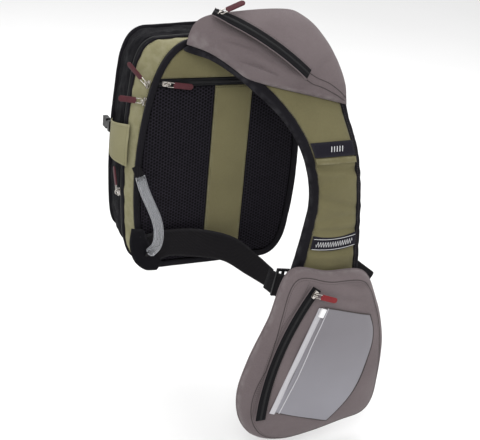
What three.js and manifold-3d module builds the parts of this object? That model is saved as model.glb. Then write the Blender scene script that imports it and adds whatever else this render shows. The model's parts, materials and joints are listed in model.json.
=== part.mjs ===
// One-shoulder sling pack for fishing: a zipped back bag, a padded shoulder strap with a pocket on the
// shoulder, and a chest pocket with a clear window at the strap's lower end.
// Millimetres. The bag is laid out with its back panel in the X-Z plane at y = 0, facing -Y (the wearer's
// back), the middle of its base at x = 0, z = 0, and the body behind it along +Y.
import * as THREE from "three";
import { mergeVertices } from "three/addons/utils/BufferGeometryUtils.js";
import Module from "manifold-3d";

const wasm = await Module();
wasm.setup();

// ---- driving dimensions -------------------------------------------------------------------------------
// Where the strap sits on a shoulder, which is the part's origin.
const shoulderRest = new THREE.Vector3(53, -30, 321);
const gap = 0.4; // clearance between pieces that are sewn face to face

// The bag's outline in X-Z, at the panel on the wearer's back and round the body: a flat base, side arcs
// of sideRadius that are widest at midHeight, tight lower corners and wider upper ones.
const panelShape = {
  middle: 3.5, halfWide: 125, sideRadius: 580, midHeight: 134, sideLow: 60, sideHigh: 240,
  baseHalf: 80, baseReach: 26, lowReach: 36, highReach: 45,
  topReach: 36, topHalf: 56, topHeight: 338, crown: 344,
};
const bodyShape = {
  middle: 0, halfWide: 129.5, sideRadius: 1100, midHeight: 145, sideLow: 45, sideHigh: 286,
  baseHalf: 92, baseReach: 24, lowReach: 26, highReach: 25,
  topReach: 20, topHalf: 88, topHeight: 333, crown: 338,
};
const outlineSteps = 52;
const corner = { arc: [262, 305, 333], sliderZ: 276 }; // heights on the panel's upper corner
const baseRise = { from: 31, to: 97, most: 26, reach: 110 }; // the base slopes up away from the wearer

const foamThick = 9;
const stiffenerThick = 1.5;
const skinThick = 3;
const zipLine = { low: 274, high: 285 }; // the mesh pocket's zip, across the back panel
const stripEdges = { left: -11, right: 47 };

// Every ring round the bag: how far it stands outside and inside the outline, and where it lies along Y.
const rings = {
  panel_piping: { out: 3.5, in: 5.6, from: -6, to: 0, finish: "binding" },
  rear_zip: { out: 1.5, in: 4, from: 0.4, to: 6, finish: "zip_tape" },
  rear_gusset: { out: 0, in: 2, from: 6.4, to: 26, finish: "olive" },
  main_rear_piping: { out: 3, in: 4, from: 26.4, to: 31, finish: "binding" },
  main_gusset_rear: { out: 0, in: 2, from: 31.4, to: 36, finish: "black" },
  main_zip: { out: 1.2, in: 3, from: 36.4, to: 44, finish: "zip_tape" },
  main_gusset_front: { out: 0, in: 2, from: 44.4, to: 90, finish: "black" },
  main_front_piping: { out: 3.5, in: 5, from: 90.4, to: 97, finish: "binding" },
};
const frontPanel = { from: 92, thick: 3, inset: 5.4 };
const frontPocket = {
  x: 0, z: 140, halfWide: 100, halfTall: 98, power: 5, from: 95.4, depth: 38, rim: 3,
  zipZ: 200, zipHalf: 6, zipReach: 72, zipThick: 2,
};
const basePad = { halfX: 76, from: 33, to: 88, drop: 1.7, thick: 3.6 };

const strapThick = 12;
const strapCrown = 4;
const bindingShare = 0.12; // of the strap's width, each side
// Edges of the shoulder strap, station by station, from the top of the back panel to the chest pocket.
const strapInner = [
  [-66, -11, 334], [-36, -32, 325], [10, -64, 294], [56, -96, 250],
  [82, -114, 203], [96, -122, 140], [91, -121, 80], [80, -118, 12],
];
const strapOuter = [
  [110, -11, 340], [134, -32, 334], [152, -64, 300], [157, -92, 253],
  [169, -113, 203], [178, -122, 140], [186, -121, 80], [195, -118, 8],
];

const shoulderPocket = { innerEnd: 0.25, outerEnd: 0.395, height: 48, lowHeight: 16, lean: 14 };
const shoulderZip = { head: [0.14, 0.12], middle: [0.3, 0.5], tail: [0.48, 0.86], halfWide: 7, thick: 1.6 };

// The chest pocket: an outline round its centre, in the X-Z plane, and the layers of its front.
const chest = {
  centre: new THREE.Vector2(128, -112),
  plane: -131,
  back: 4.5,
  front: 30,
  outline: [
    [71, 37], [130, 28], [192, 21], [222, -28], [241, -88], [245, -150],
    [240, -208], [226, -229], [184, -239], [128, -250], [76, -253], [38, -239],
    [14, -206], [6, -160], [18, -106], [44, -40],
  ],
};
const chestZip = {
  centre: new THREE.Vector2(437, -204), radius: 403, width: 16, thick: 1.6, start: 33.5, end: 1.5,
};
const windowRight = [[200, -40], [211, -72], [205, -120], [188, -172], [150, -220]];
const windowLeft = [[121, -16], [92, -99], [60, -186]];
// The clear rail down the window's left edge: its place beside that edge, and the window's share it takes.
const rail = { from: -10, to: -3, thick: 1.8, share: 0.1, sliderShare: 0.03 };

const webbingThick = 2;
const webbingUpper = [
  [-116, -11, 55], [-77, -14, 62], [-24, -19, 60], [30, -28, 44], [58, -50, 23], [70, -84, 14],
];
const webbingLower = [
  [-94, -11, 4], [-72, -13, 18], [-36, -16, 15], [14, -25, 6], [42, -48, -8], [64, -82, -16],
];
const strapEndOutline = [[72, 12], [120, 26], [192, 30], [234, -2], [222, -22], [120, -20], [68, -16]];
const strapEnd = { from: -104.6, thick: 2 };

const tubeRadius = { outer: 7, inner: 5.2 };
const tubePath = [
  [-120, -14, 149], [-114, -21, 127], [-106, -29, 107], [-98, -33, 86],
  [-94, -32, 65], [-95, -28, 45], [-102, -22, 32],
];

const tab = {
  rootLow: 153, rootHigh: 216, tipLow: 160, tipHigh: 206, from: 15, to: 76, rise: 5.4, lift: 10, thick: 2,
};
const buckle = { x: 136, y: 76.8, z: 192, wide: 16, thick: 7, socketLong: 24, clipLong: 6 };

// ---- finishes -----------------------------------------------------------------------------------------
function finish(color, roughness, metalness = 0, extra = {}) {
  return new THREE.MeshStandardMaterial({ color, roughness, metalness, ...extra });
}

const finishes = {
  olive: finish(0x8a8058, 0.85),
  grey: finish(0x8b8080, 0.85),
  black: finish(0x1c1b1e, 0.8),
  mesh: finish(0x121214, 0.9),
  binding: finish(0x242226, 0.75),
  zip_tape: finish(0x17171a, 0.7),
  foam: finish(0x3a3a3c, 0.95),
  stiffener: finish(0x2c2c2e, 0.5),
  webbing: finish(0x1b191c, 0.7),
  clear: finish(0xd6dade, 0.12, 0, { transparent: true, opacity: 0.35 }),
  window: finish(0xbabac2, 0.2, 0, { transparent: true, opacity: 0.55 }),
  nickel: finish(0xc9c4bd, 0.25, 1),
  pull: finish(0x7c3a45, 0.55),
  plastic: finish(0x101012, 0.4),
  white_plastic: finish(0xf2f2f2, 0.4),
  label: finish(0x18171c, 0.6),
};

// ---- solids -------------------------------------------------------------------------------------------
// Turns the faces round if they point inwards.
function facingOut(geometry) {
  const p = geometry.getAttribute("position");
  const index = geometry.index.array;
  const [a, b, c] = [new THREE.Vector3(), new THREE.Vector3(), new THREE.Vector3()];
  let volume = 0;
  for (let i = 0; i < index.length; i += 3) {
    a.fromBufferAttribute(p, index[i]);
    b.fromBufferAttribute(p, index[i + 1]);
    c.fromBufferAttribute(p, index[i + 2]);
    volume += a.dot(b.cross(c));
  }
  if (volume < 0) {
    for (let i = 0; i < index.length; i += 3) {
      [index[i + 1], index[i + 2]] = [index[i + 2], index[i + 1]];
    }
  }
  return geometry;
}

// A closed sheet between two surfaces: pointAt(u, v, side) with u and v from 0 to 1, side 0 under, 1 over.
function slab(pointAt, along, across) {
  const position = [];
  const index = [];
  const row = across + 1;
  const layer = (along + 1) * row;
  for (let side = 0; side < 2; side++) {
    for (let i = 0; i <= along; i++) {
      for (let j = 0; j <= across; j++) {
        position.push(...pointAt(i / along, j / across, side).toArray());
      }
    }
  }
  const quad = (a, b, c, d) => index.push(a, b, c, a, c, d);
  for (let i = 0; i < along; i++) {
    for (let j = 0; j < across; j++) {
      const a = i * row + j;
      quad(a, a + 1, a + row + 1, a + row);
      quad(layer + a, layer + a + row, layer + a + row + 1, layer + a + 1);
    }
  }
  for (let i = 0; i < along; i++) {
    const [a, b] = [i * row, i * row + across];
    quad(a, a + row, layer + a + row, layer + a);
    quad(b + row, b, layer + b, layer + b + row);
  }
  for (let j = 0; j < across; j++) {
    const [a, b] = [j, along * row + j];
    quad(a + 1, a, layer + a, layer + a + 1);
    quad(b, b + 1, layer + b + 1, layer + b);
  }
  const geometry = new THREE.BufferGeometry();
  geometry.setAttribute("position", new THREE.Float32BufferAttribute(position, 3));
  geometry.setIndex(index);
  return facingOut(geometry);
}

// A domed pad: rings of radiusAt(angle) round a centre, from the rim to the middle, on both faces.
function pillow(centre, radiusAt, frontAt, backAt, spokes, steps) {
  const position = [];
  const index = [];
  for (const [side, yAt] of [[0, frontAt], [1, backAt]]) {
    for (let i = 0; i < steps; i++) {
      const share = 1 - i / steps;
      for (let j = 0; j < spokes; j++) {
        const angle = (2 * Math.PI * j) / spokes;
        const r = share * radiusAt(angle);
        position.push(centre.x + r * Math.cos(angle), yAt(share), centre.y + r * Math.sin(angle));
      }
    }
    position.push(centre.x, yAt(0), centre.y);
    const first = side * (steps * spokes + 1);
    const face = (a, b, c) => (side ? index.push(a, b, c) : index.push(a, c, b));
    for (let j = 0; j < spokes; j++) {
      const k = (j + 1) % spokes;
      for (let i = 0; i < steps - 1; i++) {
        const [a, b] = [first + i * spokes + j, first + i * spokes + k];
        face(a, b, b + spokes);
        face(a, b + spokes, a + spokes);
      }
      face(first + (steps - 1) * spokes + j, first + (steps - 1) * spokes + k, first + steps * spokes);
    }
  }
  const back = steps * spokes + 1;
  for (let j = 0; j < spokes; j++) {
    const k = (j + 1) % spokes;
    index.push(j, k, back + k, j, back + k, back + j);
  }
  const geometry = new THREE.BufferGeometry();
  geometry.setAttribute("position", new THREE.Float32BufferAttribute(position, 3));
  geometry.setIndex(index);
  return facingOut(geometry);
}

// An X-Z outline carried along +Y.
function plate(shape, from, thick) {
  const geometry = new THREE.ExtrudeGeometry(shape, { depth: thick, bevelEnabled: false });
  return geometry.rotateX(Math.PI / 2).translate(0, from + thick, 0);
}

function box(low, high) {
  const size = high.map((h, i) => h - low[i]);
  const geometry = new THREE.BoxGeometry(...size);
  return geometry.translate(...low.map((l, i) => l + size[i] / 2));
}

function toSolid(geometry) {
  const bare = geometry.clone();
  bare.deleteAttribute("normal");
  bare.deleteAttribute("uv");
  const merged = mergeVertices(bare, 1e-4);
  return new wasm.Manifold(
    new wasm.Mesh({
      numProp: 3,
      vertProperties: new Float32Array(merged.getAttribute("position").array),
      triVerts: new Uint32Array(merged.index.array),
    }),
  );
}

function toGeometry(solid) {
  const mesh = solid.getMesh();
  const geometry = new THREE.BufferGeometry();
  geometry.setAttribute("position", new THREE.BufferAttribute(new Float32Array(mesh.vertProperties), 3));
  geometry.setIndex(new THREE.BufferAttribute(new Uint32Array(mesh.triVerts), 1));
  geometry.computeVertexNormals();
  return geometry;
}

function joined(...geometries) {
  return toGeometry(geometries.map(toSolid).reduce((a, b) => a.add(b)));
}

function cut(geometry, ...tools) {
  return toGeometry(tools.map(toSolid).reduce((a, b) => a.subtract(b), toSolid(geometry)));
}

function kept(geometry, region) {
  return toGeometry(toSolid(geometry).intersect(toSolid(region)));
}

// ---- curves -------------------------------------------------------------------------------------------
function curveOf(points) {
  return new THREE.CatmullRomCurve3(points.map((p) => new THREE.Vector3(...p)), false, "centripetal");
}

function flatCurveOf(points) {
  return new THREE.SplineCurve(points.map((p) => new THREE.Vector2(...p)));
}

// Half width of an outline at a height on its side arcs.
function sideX(shape, z) {
  return Math.sqrt(shape.sideRadius ** 2 - (z - shape.midHeight) ** 2) - shape.sideRadius + shape.halfWide;
}

function outlinePoints(shape) {
  const { halfWide, sideRadius, midHeight, sideLow, sideHigh, baseHalf, topHalf, topHeight } = shape;
  const [lowX, highX] = [sideX(shape, sideLow), sideX(shape, sideHigh)];
  const lowAngle = Math.asin((sideLow - midHeight) / sideRadius);
  const highAngle = Math.asin((sideHigh - midHeight) / sideRadius);
  const centreX = sideRadius - halfWide;
  const highLean = shape.highReach * Math.tan(highAngle);
  const topSlope = (2 * (shape.crown - topHeight)) / topHalf;
  const topZ = topHeight - shape.topReach * topSlope;
  const path = new THREE.Shape();
  path.moveTo(-baseHalf, 0);
  path.lineTo(baseHalf, 0);
  path.bezierCurveTo(baseHalf + shape.baseReach, 0, lowX - 3, sideLow - shape.lowReach, lowX, sideLow);
  path.absarc(-centreX, midHeight, sideRadius, lowAngle, highAngle, false);
  path.bezierCurveTo(
    highX - highLean, sideHigh + shape.highReach, topHalf + shape.topReach, topZ, topHalf, topHeight,
  );
  path.quadraticCurveTo(0, shape.crown, -topHalf, topHeight);
  path.bezierCurveTo(
    -topHalf - shape.topReach, topZ, highLean - highX, sideHigh + shape.highReach, -highX, sideHigh,
  );
  path.absarc(centreX, midHeight, sideRadius, Math.PI - highAngle, Math.PI - lowAngle, false);
  path.bezierCurveTo(3 - lowX, sideLow - shape.lowReach, -baseHalf - shape.baseReach, 0, -baseHalf, 0);
  const points = path.getSpacedPoints(outlineSteps).slice(0, outlineSteps);
  return points.map((p) => p.setX(p.x + shape.middle));
}

const panelPoints = outlinePoints(panelShape);
const bodyPoints = outlinePoints(bodyShape);

// An outline moved outwards by a distance (inwards if it is negative).
function outline(points, distance) {
  return points.map((p, i) => {
    const before = points[(i + outlineSteps - 1) % outlineSteps];
    const after = points[(i + 1) % outlineSteps];
    const along = after.clone().sub(before).normalize();
    return new THREE.Vector2(p.x + along.y * distance, p.y - along.x * distance);
  });
}

// The outline at a depth: the panel's up to the rear zip, the body's from the main compartment on, with a
// base that rises towards the front.
function outlineAt(y) {
  const [start, end] = [rings.rear_zip.to, rings.main_rear_piping.from];
  const share = THREE.MathUtils.smoothstep(y, start, end);
  const rise = baseRise.most * Math.max(0, (y - baseRise.from) / (baseRise.to - baseRise.from));
  return panelPoints.map((panelPoint, i) => {
    const p = panelPoint.clone().lerp(bodyPoints[i], share);
    return p.setY(p.y + rise * Math.max(0, 1 - p.y / baseRise.reach) ** 2);
  });
}

// A ring round the bag from one depth to another.
function ring({ out, in: inside, from, to }) {
  const loops = [[from, out], [to, out], [to, -inside], [from, -inside]].map(([y, distance]) =>
    outline(outlineAt(y), distance).map((p) => [p.x, y, p.y]),
  );
  const index = [];
  for (let k = 0; k < 4; k++) {
    for (let i = 0; i < outlineSteps; i++) {
      const j = (i + 1) % outlineSteps;
      const [a, b] = [k * outlineSteps, ((k + 1) % 4) * outlineSteps];
      index.push(a + i, a + j, b + j, a + i, b + j, b + i);
    }
  }
  const geometry = new THREE.BufferGeometry();
  geometry.setAttribute("position", new THREE.Float32BufferAttribute(loops.flat(2), 3));
  geometry.setIndex(index);
  return facingOut(geometry);
}

// ---- the shoulder strap's surface ---------------------------------------------------------------------
const innerEdge = curveOf(strapInner);
const outerEdge = curveOf(strapOuter);

function strapMid(u, v) {
  return innerEdge.getPoint(u).lerp(outerEdge.getPoint(u), v);
}

function strapNormal(u, v) {
  const step = 0.01;
  const [u0, u1] = [Math.max(0, u - step), Math.min(1, u + step)];
  const along = strapMid(u1, v).sub(strapMid(u0, v));
  const across = outerEdge.getPoint(u).sub(innerEdge.getPoint(u));
  return along.cross(across).normalize();
}

// A point on the strap: u down its length, v across from the inner edge, height above its outer face.
function onStrap(u, v, height) {
  const crown = strapCrown * 4 * v * (1 - v);
  return strapMid(u, v).addScaledVector(strapNormal(u, v), crown + height);
}

function strapLayer({ u0 = 0, u1 = 1, v0, v1, low, high, along = 20, across = 4 }) {
  return slab(
    (u, v, side) => onStrap(u0 + (u1 - u0) * u, v0 + (v1 - v0) * v, side ? high : low),
    along,
    across,
  );
}

// The shoulder pocket's place on the strap: s across it, t from the bag to its front edge.
function pocketPlace(s, t) {
  const { innerEnd, outerEnd } = shoulderPocket;
  return { u: t * (innerEnd + (outerEnd - innerEnd) * Math.sqrt(s)), v: 0.02 + 0.96 * s };
}

function pocketHeight(s, t) {
  const { height, lowHeight } = shoulderPocket;
  const slope = height + (lowHeight - height) * t;
  const ends = (1 - Math.abs(2 * s - 1) ** 6) ** 0.5;
  return 1 + slope * (0.42 + 0.58 * ends);
}

// A point over the pocket's face. Its rear leans back over the top of the bag.
function onPocket(s, t, height) {
  const { u, v } = pocketPlace(s, t);
  const point = onStrap(u, v, pocketHeight(s, t) + height);
  point.y += shoulderPocket.lean * (1 - t) ** 4;
  return point;
}

// The circle through three points: its centre, radius and axis.
function circleThrough(a, b, c) {
  const [p, q] = [a.clone().sub(c), b.clone().sub(c)];
  const axis = p.clone().cross(q);
  const scale = 0.5 / axis.lengthSq();
  const offset = q.clone().multiplyScalar(p.lengthSq()).sub(p.clone().multiplyScalar(q.lengthSq()));
  const centre = offset.cross(axis).multiplyScalar(scale).add(c);
  return { centre, radius: centre.distanceTo(a), axis: axis.normalize() };
}

// The shoulder pocket's zip lies on an arc that clears the pocket all along its band.
function shoulderZipArc() {
  const [head, middle, tail] = [shoulderZip.head, shoulderZip.middle, shoulderZip.tail]
    .map(([s, t]) => onPocket(s, t, 0));
  const arc = circleThrough(head, middle, tail);
  const radial = (p) => {
    const away = p.clone().sub(arc.centre);
    const beside = away.dot(arc.axis);
    return { beside, out: away.addScaledVector(arc.axis, -beside) };
  };
  const start = radial(head).out;
  const sweep = start.angleTo(radial(tail).out);
  const turn = Math.sign(start.clone().cross(radial(tail).out).dot(arc.axis));
  let rise = 0;
  const samples = 50;
  for (let i = 0; i <= samples; i++) {
    for (let j = 0; j <= samples; j++) {
      const { beside, out } = radial(onPocket(i / samples, j / samples, 0));
      const angle = turn * Math.atan2(start.clone().cross(out).dot(arc.axis), start.dot(out));
      const over = Math.abs(beside) < shoulderZip.halfWide + 2 && angle > -0.03 && angle < sweep + 0.03;
      if (over) rise = Math.max(rise, out.length() - arc.radius);
    }
  }
  return { ...arc, radius: arc.radius + rise + gap, start: start.normalize(), sweep, turn };
}
const zipArc = shoulderZipArc();

// On the zip's arc: share 0 to 1 along it, beside along its axis, above its face.
function onZipArc(share, beside, above) {
  const out = zipArc.start.clone().applyAxisAngle(zipArc.axis, zipArc.turn * zipArc.sweep * share);
  return out.multiplyScalar(zipArc.radius + above).addScaledVector(zipArc.axis, beside).add(zipArc.centre);
}

// ---- the chest pocket's surface -----------------------------------------------------------------------
const turn = 2 * Math.PI;
const wrapped = (angle) => (angle + turn) % turn;
const chestSteps = 240;
const chestRim = new THREE.CatmullRomCurve3(
  chest.outline.map(([x, z]) => new THREE.Vector3(x, 0, z)), true, "centripetal",
).getPoints(chestSteps).slice(0, chestSteps).map((p) => {
  const [x, z] = [p.x - chest.centre.x, p.z - chest.centre.y];
  return { angle: wrapped(Math.atan2(z, x)), r: Math.hypot(x, z) };
}).sort((a, b) => a.angle - b.angle);

// The rim's distance from the pocket's centre in a direction, between the two rim points beside it.
function chestRadius(angle) {
  const found = chestRim.findIndex((p) => p.angle > wrapped(angle));
  const next = found < 0 ? 0 : found;
  const [before, after] = [chestRim[(next + chestSteps - 1) % chestSteps], chestRim[next]];
  const share = wrapped(angle - before.angle) / (wrapped(after.angle - before.angle) || 1);
  return before.r + (after.r - before.r) * share;
}

function chestDome(share) {
  return chest.front * (1 - share ** 7) ** 0.5;
}

// Y of the chest pocket's front over a point in the X-Z plane.
function chestFront(x, z) {
  const [dx, dz] = [x - chest.centre.x, z - chest.centre.y];
  const share = Math.min(1, Math.hypot(dx, dz) / chestRadius(Math.atan2(dz, dx)));
  return chest.plane - chestDome(share);
}

function chestLayer(place, low, high, along, across) {
  return slab((u, v, side) => {
    const [x, z] = place(u, v);
    return new THREE.Vector3(x, chestFront(x, z) - (side ? high : low), z);
  }, along, across);
}

// ---- nodes --------------------------------------------------------------------------------------------
const root = new THREE.Group();
const pack = new THREE.Group();
pack.position.copy(shoulderRest).negate();
root.add(pack);

function add(name, geometry, finishName, parent = pack) {
  const mesh = new THREE.Mesh(geometry, finishes[finishName]);
  mesh.name = name;
  parent.add(mesh);
  return mesh;
}

function addBackPanel() {
  const inset = new THREE.Shape(outline(panelPoints, -7));
  add("back_foam", plate(inset, 0, foamThick), "foam");
  add("back_stiffener", plate(inset, foamThick + gap, stiffenerThick), "stiffener");
  const skin = plate(new THREE.Shape(outline(panelPoints, -6)), -gap - skinThick, skinThick);
  const far = 400;
  const skinPart = (name, [x0, x1], [z0, z1], finishName) =>
    add(name, kept(skin, box([x0, -far, z0], [x1, far, z1])), finishName);
  const { left, right } = stripEdges;
  const below = [-far, zipLine.low - gap];
  skinPart("back_mesh_left", [-far, left - gap], below, "mesh");
  skinPart("back_mesh_right", [right + gap, far], below, "mesh");
  skinPart("back_centre_strip", [left, right], below, "olive");
  skinPart("back_pocket_zip", [-far, far], [zipLine.low, zipLine.high], "zip_tape");
  skinPart("back_top_band", [-far, far], [zipLine.high + gap, far], "olive");
}

function addRings() {
  for (const [name, size] of Object.entries(rings)) {
    add(name, ring(size), size.finish);
  }
}

// The front pocket's rim is a superellipse, and its face a dome that drops away close to the rim.
function frontPocketRadius(angle) {
  const { power } = frontPocket;
  const c = Math.abs(Math.cos(angle)) / frontPocket.halfWide;
  const s = Math.abs(Math.sin(angle)) / frontPocket.halfTall;
  return (c ** power + s ** power) ** (-1 / power);
}

function addFront() {
  const panelOutline = outline(outlineAt(frontPanel.from + frontPanel.thick), -frontPanel.inset);
  add("front_panel", plate(new THREE.Shape(panelOutline), frontPanel.from, frontPanel.thick), "black");
  const { x, z, from, depth, rim, zipHalf, zipReach } = frontPocket;
  const shape = pillow(
    new THREE.Vector2(x, z),
    frontPocketRadius,
    () => from,
    (share) => from + rim + (depth - rim) * (1 - share ** 7) ** 0.5,
    32,
    4,
  );
  add("front_pocket", shape, "olive");
  const zip = slab((u, v, side) => {
    const [px, pz] = [zipReach * (2 * u - 1), frontPocket.zipZ + zipHalf * (2 * v - 1)];
    return new THREE.Vector3(px, from + depth + (side ? frontPocket.zipThick : gap), pz);
  }, 1, 1);
  add("front_pocket_zip", zip, "zip_tape");
  const { halfX, drop, thick } = basePad;
  const slope = baseRise.most / (baseRise.to - baseRise.from);
  const pad = slab((u, v, side) => {
    const y = basePad.from + (basePad.to - basePad.from) * v;
    const z = (y - baseRise.from) * slope - drop - side * thick;
    return new THREE.Vector3(halfX * (2 * u - 1), y, z);
  }, 1, 1);
  add("base_pad", pad, "black");
}

function addTab(name, side) {
  const { from, to, rise, lift, thick } = tab;
  const shape = slab((u, v, face) => {
    const low = tab.rootLow + (tab.tipLow - tab.rootLow) * u;
    const high = tab.rootHigh + (tab.tipHigh - tab.rootHigh) * u;
    const z = low + (high - low) * v;
    const out = sideX(bodyShape, z) + 0.6 + rise * u + lift * Math.sin(Math.PI * u) + (face ? thick : 0);
    return new THREE.Vector3(side * out, from + (to - from) * u, z);
  }, 6, 4);
  add(name, shape, "olive");
}

// A side-release buckle along its own +Y: the socket on the tab's end, the clip's prongs inside it.
function addBuckle(prefix, side) {
  const place = new THREE.Group();
  place.position.set(side * buckle.x, buckle.y, buckle.z);
  pack.add(place);
  const { wide, thick, socketLong, clipLong } = buckle;
  const [w, t] = [wide / 2, thick / 2];
  const wall = 1.2;
  const socket = cut(
    box([-t, 0, -w], [t, socketLong, w]),
    box([-t + wall, 4, -w + wall], [t - wall, socketLong + 1, w - wall]),
    box([-t - 1, 8, -w - 1], [t + 1, 15, -w + 3]),
    box([-t - 1, 8, w - 3], [t + 1, 15, w + 1]),
  );
  add(`${prefix}_buckle_socket`, socket, "plastic", place);
  const prong = t - wall - 0.5;
  const start = socketLong + gap;
  const clip = joined(
    box([-t, start, -w], [t, start + clipLong, w]),
    box([-prong, 7, -w + 2], [prong, start + 1, -w + 5]),
    box([-prong, 7, w - 5], [prong, start + 1, w - 2]),
    box([-prong, 11, -1.5], [prong, start + 1, 1.5]),
  );
  add(`${prefix}_buckle_clip`, clip, "plastic", place);
}

function addTube() {
  const section = new THREE.Shape().absarc(0, 0, tubeRadius.outer, 0, 2 * Math.PI, false);
  section.holes.push(new THREE.Path().absarc(0, 0, tubeRadius.inner, 0, 2 * Math.PI, true));
  const tube = new THREE.ExtrudeGeometry(section, {
    extrudePath: curveOf(tubePath), steps: 16, curveSegments: 5,
  });
  add("tool_tube", tube, "clear");
}

function addWebbing() {
  const [upper, lower] = [curveOf(webbingUpper), curveOf(webbingLower)];
  const shape = slab((u, v, side) => {
    const [a, b] = [upper.getPoint(u), lower.getPoint(u)];
    const along = upper.getPoint(Math.min(1, u + 0.01)).sub(upper.getPoint(Math.max(0, u - 0.01)));
    const normal = b.clone().sub(a).cross(along).normalize();
    return a.lerp(b, v).addScaledVector(normal, (side - 0.5) * webbingThick);
  }, 18, 2);
  add("sling_webbing", shape, "webbing");
}

function addStrap() {
  const [a, b] = [bindingShare, 1 - bindingShare];
  const hair = 0.011;
  const lining = 3;
  const bindings = { low: -strapThick, high: 0.8, across: 2 };
  add("strap_pad", strapLayer({ v0: a, v1: b, low: lining + gap - strapThick, high: 0 }), "olive");
  add("strap_lining", strapLayer({ v0: a, v1: b, low: -strapThick, high: lining - strapThick }), "mesh");
  add("strap_binding_inner", strapLayer({ ...bindings, v0: 0, v1: a - hair }), "binding");
  add("strap_binding_outer", strapLayer({ ...bindings, v0: b + hair, v1: 1 }), "binding");
  const label = { v0: a + hair, v1: b - hair, low: gap, high: 1.8, along: 4 };
  add("upper_label", strapLayer({ ...label, u0: 0.525, u1: 0.58 }), "label");
  add("lower_label", strapLayer({ ...label, u0: 0.85, u1: 0.895 }), "label");
  const endShape = new THREE.Shape(strapEndOutline.map(([x, z]) => new THREE.Vector2(x, z)));
  add("strap_end_webbing", plate(endShape, strapEnd.from, strapEnd.thick), "webbing");
}

function addShoulderPocket() {
  const pocket = slab((t, s, side) => {
    const { u, v } = pocketPlace(s, t);
    return side ? onPocket(s, t, 0) : onStrap(u, v, 1.4);
  }, 8, 8);
  add("shoulder_pocket", pocket, "grey");
  const { halfWide, thick } = shoulderZip;
  const zip = slab((u, v, side) => onZipArc(u, halfWide * (2 * v - 1), side * thick), 8, 1);
  add("shoulder_pocket_zip", zip, "zip_tape");
}

// On the chest pocket's zip: degrees round its arc, off to the arc's outer side.
function chestZipAt(angle, off = 0) {
  const a = THREE.MathUtils.degToRad(angle);
  const r = chestZip.radius + off;
  return [chestZip.centre.x - r * Math.cos(a), chestZip.centre.y + r * Math.sin(a)];
}
const chestZipY = chest.plane - chest.front - gap;

function addChestPocket() {
  const pocket = pillow(
    chest.centre,
    chestRadius,
    (share) => chest.plane - chestDome(share),
    (share) => chest.plane + (chest.back * (1 - share ** 4)),
    40,
    5,
  );
  add("chest_pocket", pocket, "grey");
  const half = chestZip.width / 2;
  const zip = slab((u, v, side) => {
    const [x, z] = chestZipAt(chestZip.start + (chestZip.end - chestZip.start) * u, half * (2 * v - 1));
    return new THREE.Vector3(x, chestZipY - side * chestZip.thick, z);
  }, 12, 1);
  add("chest_zip", zip, "zip_tape");
  const [right, left] = [flatCurveOf(windowRight), flatCurveOf(windowLeft)];
  const windowAt = (u, v) => left.getPoint(u).lerp(right.getPoint(u), v).toArray();
  const paneAt = (u, v) => windowAt(u, rail.share + (1 - rail.share) * v);
  add("chest_window", chestLayer(paneAt, gap, 1.4, 8, 6), "window");
  const [top, bottom] = [new THREE.Vector2(...windowLeft[0]), new THREE.Vector2(...windowLeft[2])];
  add("window_rail", slab((u, v, side) => {
    const p = top.clone().lerp(bottom, u);
    const x = p.x + rail.from + (rail.to - rail.from) * v;
    return new THREE.Vector3(x, chestZipY - side * rail.thick, p.y);
  }, 1, 1), "clear");
  const middle = top.clone().lerp(bottom, rail.sliderShare);
  middle.x += (rail.from + rail.to) / 2;
  const slope = Math.atan2(bottom.y - top.y, bottom.x - top.x) + Math.PI / 2;
  const grip = box([-4.5, -4, -7], [4.5, 0, 7]).rotateY(-slope);
  add("window_slider", grip.translate(middle.x, chestZipY - rail.thick - gap, middle.y), "white_plastic");
}

// A ladder-lock frame with two slots, where the bag's webbing meets the strap's.
function addAdjuster() {
  const frame = cut(
    box([-11, -2, -22], [11, 2, 22]),
    box([-7.5, -3, -18], [-2, 3, 18]),
    box([2, -3, -18], [7.5, 3, 18]),
  );
  const mesh = add("strap_adjuster", frame, "plastic");
  mesh.position.set(76, -97, -1);
  mesh.rotation.y = 0.16;
}

// ---- zip sliders and their pulls ----------------------------------------------------------------------
const hinge = 5.7; // height of a pull's hinge above the zip
const sliderLift = 0.4;
// Where each slider stands on its zip when it is closed.
const parked = {
  rearY: 3.6, rearLowerZ: 252, mainZ: 105, backX: -86, shoulderShare: 0.06, chestTurn: 1.2, frontX: -62,
};

// Axes: the way the pull points, the side, and out of the fabric.
function frameOf(pullWay, normal) {
  const n = normal.clone().normalize();
  const p = pullWay.clone().addScaledVector(n, -pullWay.dot(n)).normalize();
  const s = n.clone().cross(p);
  return new THREE.Matrix4().makeBasis(p, s, n);
}

function addSlider(name, at, track, pullWay, normal) {
  const bodyFrame = frameOf(track, normal);
  const body = box([-6, -3.3, sliderLift], [6, 3.3, 4.2]).applyMatrix4(bodyFrame);
  const bailFrame = frameOf(pullWay, normal);
  const bail = [
    box([-4.2, -1.2, 3.6], [-2.8, 1.2, 8.2]),
    box([2.8, -1.2, 3.6], [4.2, 1.2, 8.2]),
    box([-4.2, -1.2, 7.1], [4.2, 1.2, 8.4]),
  ].map((g) => g.applyMatrix4(bailFrame));
  const shape = joined(body, ...bail);
  add(name, shape.translate(at.x, at.y, at.z), "nickel");
}

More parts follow.
